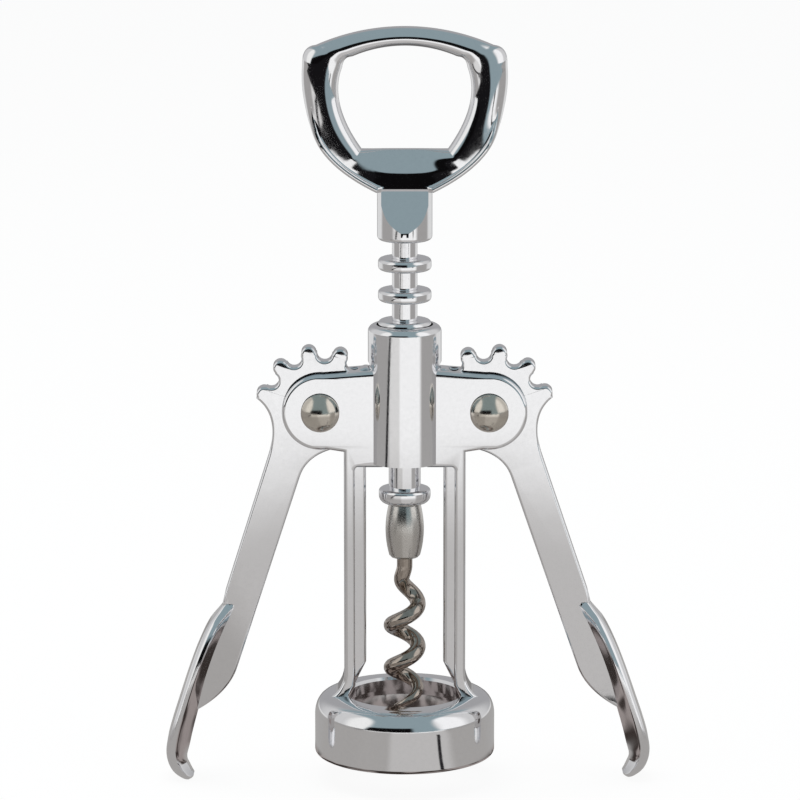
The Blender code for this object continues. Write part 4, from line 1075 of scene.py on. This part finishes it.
sheet_look = add_node(floor_tree, "ShaderNodeMixShader", n0=card_share, n1=lit_sheet,
                      n2=white_card).outputs[0]
add_node(floor_tree, "ShaderNodeOutputMaterial", Surface=sheet_look)
floor.data.materials.append(floor_paint)

# The studio is a pale tent, whiter at both sides and greyer behind. A blue-grey cloth reaches from
# low in front over the tool, a dark gap is left under it in front, and a large soft lamp above the
# tool draws the shadow.
studio = bpy.data.worlds.new("studio_tent")
bpy.context.scene.world = studio
studio.use_nodes = True
studio_tree = studio.node_tree
studio_tree.nodes.clear()
# The cloth and the gap narrow by this share on the way up to straight overhead
cloth_narrowing = 0.75


def patch(angle, low, high, blur):
    """The two soft edges of a patch between two angles, all in degrees."""
    return ((angle, math.radians(low - blur), math.radians(low + blur)),
            (angle, math.radians(high + blur), math.radians(high - blur)))


toward = add_node(studio_tree, "ShaderNodeSeparateXYZ",
                  Vector=add_node(studio_tree, "ShaderNodeTexCoord").outputs["Generated"]).outputs
to_front = add_node(studio_tree, "ShaderNodeMath", {"operation": 'MULTIPLY'}, n0=toward["Y"],
                    n1=-1.0).outputs[0]
above = add_node(studio_tree, "ShaderNodeMath", {"operation": 'MAXIMUM'}, n0=toward["Z"], n1=0.0).outputs[0]
narrowing = add_node(studio_tree, "ShaderNodeMath", {"operation": 'MULTIPLY_ADD'}, n0=above,
                     n1=cloth_narrowing, n2=1.0).outputs[0]
lean_angle = add_node(studio_tree, "ShaderNodeMath", {"operation": 'ARCSINE'}, n0=toward["X"]).outputs[0]
wall_angle = add_node(studio_tree, "ShaderNodeMath", {"operation": 'MULTIPLY'}, n0=lean_angle,
                      n1=narrowing).outputs[0]
front_angle = add_node(studio_tree, "ShaderNodeMath", {"operation": 'ARCTAN2'}, n0=toward["Z"],
                       n1=to_front).outputs[0]
side_angle = add_node(studio_tree, "ShaderNodeMath", {"operation": 'ARCTAN2'}, n0=toward["X"],
                      n1=to_front).outputs[0]
turned_away = add_node(studio_tree, "ShaderNodeMath", {"operation": 'ABSOLUTE'}, n0=side_angle).outputs[0]
# The tent's patches, each laid over those before it: white at the left and right, grey behind, the
# cloth, and the gap
tent = linear("#D4D4D4")
for tone, edges in (("#F8F8F6", patch(side_angle, -80, -42, 8)),
                    ("#FFFFFF", patch(side_angle, 45, 85, 8)),
                    ("#A6A6A8", ((turned_away, math.radians(120), math.radians(160)),)),
                    ("#8FA0A6", patch(wall_angle, -52, 46, 6) + patch(front_angle, -40, 130, 8)),
                    ("#0C0B0C", patch(wall_angle, -52, 11, 4) + patch(front_angle, -50, 15, 2.5))):
    tent = laid_over(studio_tree, tent, linear(tone), *edges)
tent_light = add_node(studio_tree, "ShaderNodeBackground", Color=tent, Strength=1.0).outputs[0]
add_node(studio_tree, "ShaderNodeOutputWorld", Surface=tent_light)
lamp_data = bpy.data.lights.new("overhead_softbox", 'AREA')
lamp_data.shape = 'RECTANGLE'
lamp_data.size = 0.9
lamp_data.size_y = 0.7
lamp_data.energy = 9
lamp = bpy.data.objects.new("overhead_softbox", lamp_data)
lamp.location = (-0.15, 0.1, 1.1)
lamp.rotation_euler = (math.radians(-6), math.radians(-8), 0)
lamp.visible_glossy = False
bpy.context.scene.collection.objects.link(lamp)

# The camera stands a little over a metre in front of the tool, looks twelve degrees down on it, and
# has a long lens. Its place and tilt were fitted to the ellipses of the bell and the collar.
camera_data = bpy.data.cameras.new("camera")
camera_data.lens = 217.58
camera_data.sensor_width = 36
camera_data.clip_start = 0.05
camera = bpy.data.objects.new("camera", camera_data)
camera.location = (-0.0010924, -1.095, 0.3202215)
camera.rotation_euler = (math.radians(78.143), 0, 0)
bpy.context.scene.collection.objects.link(camera)
bpy.context.scene.camera = camera
bpy.context.scene.view_settings.view_transform = 'Standard'
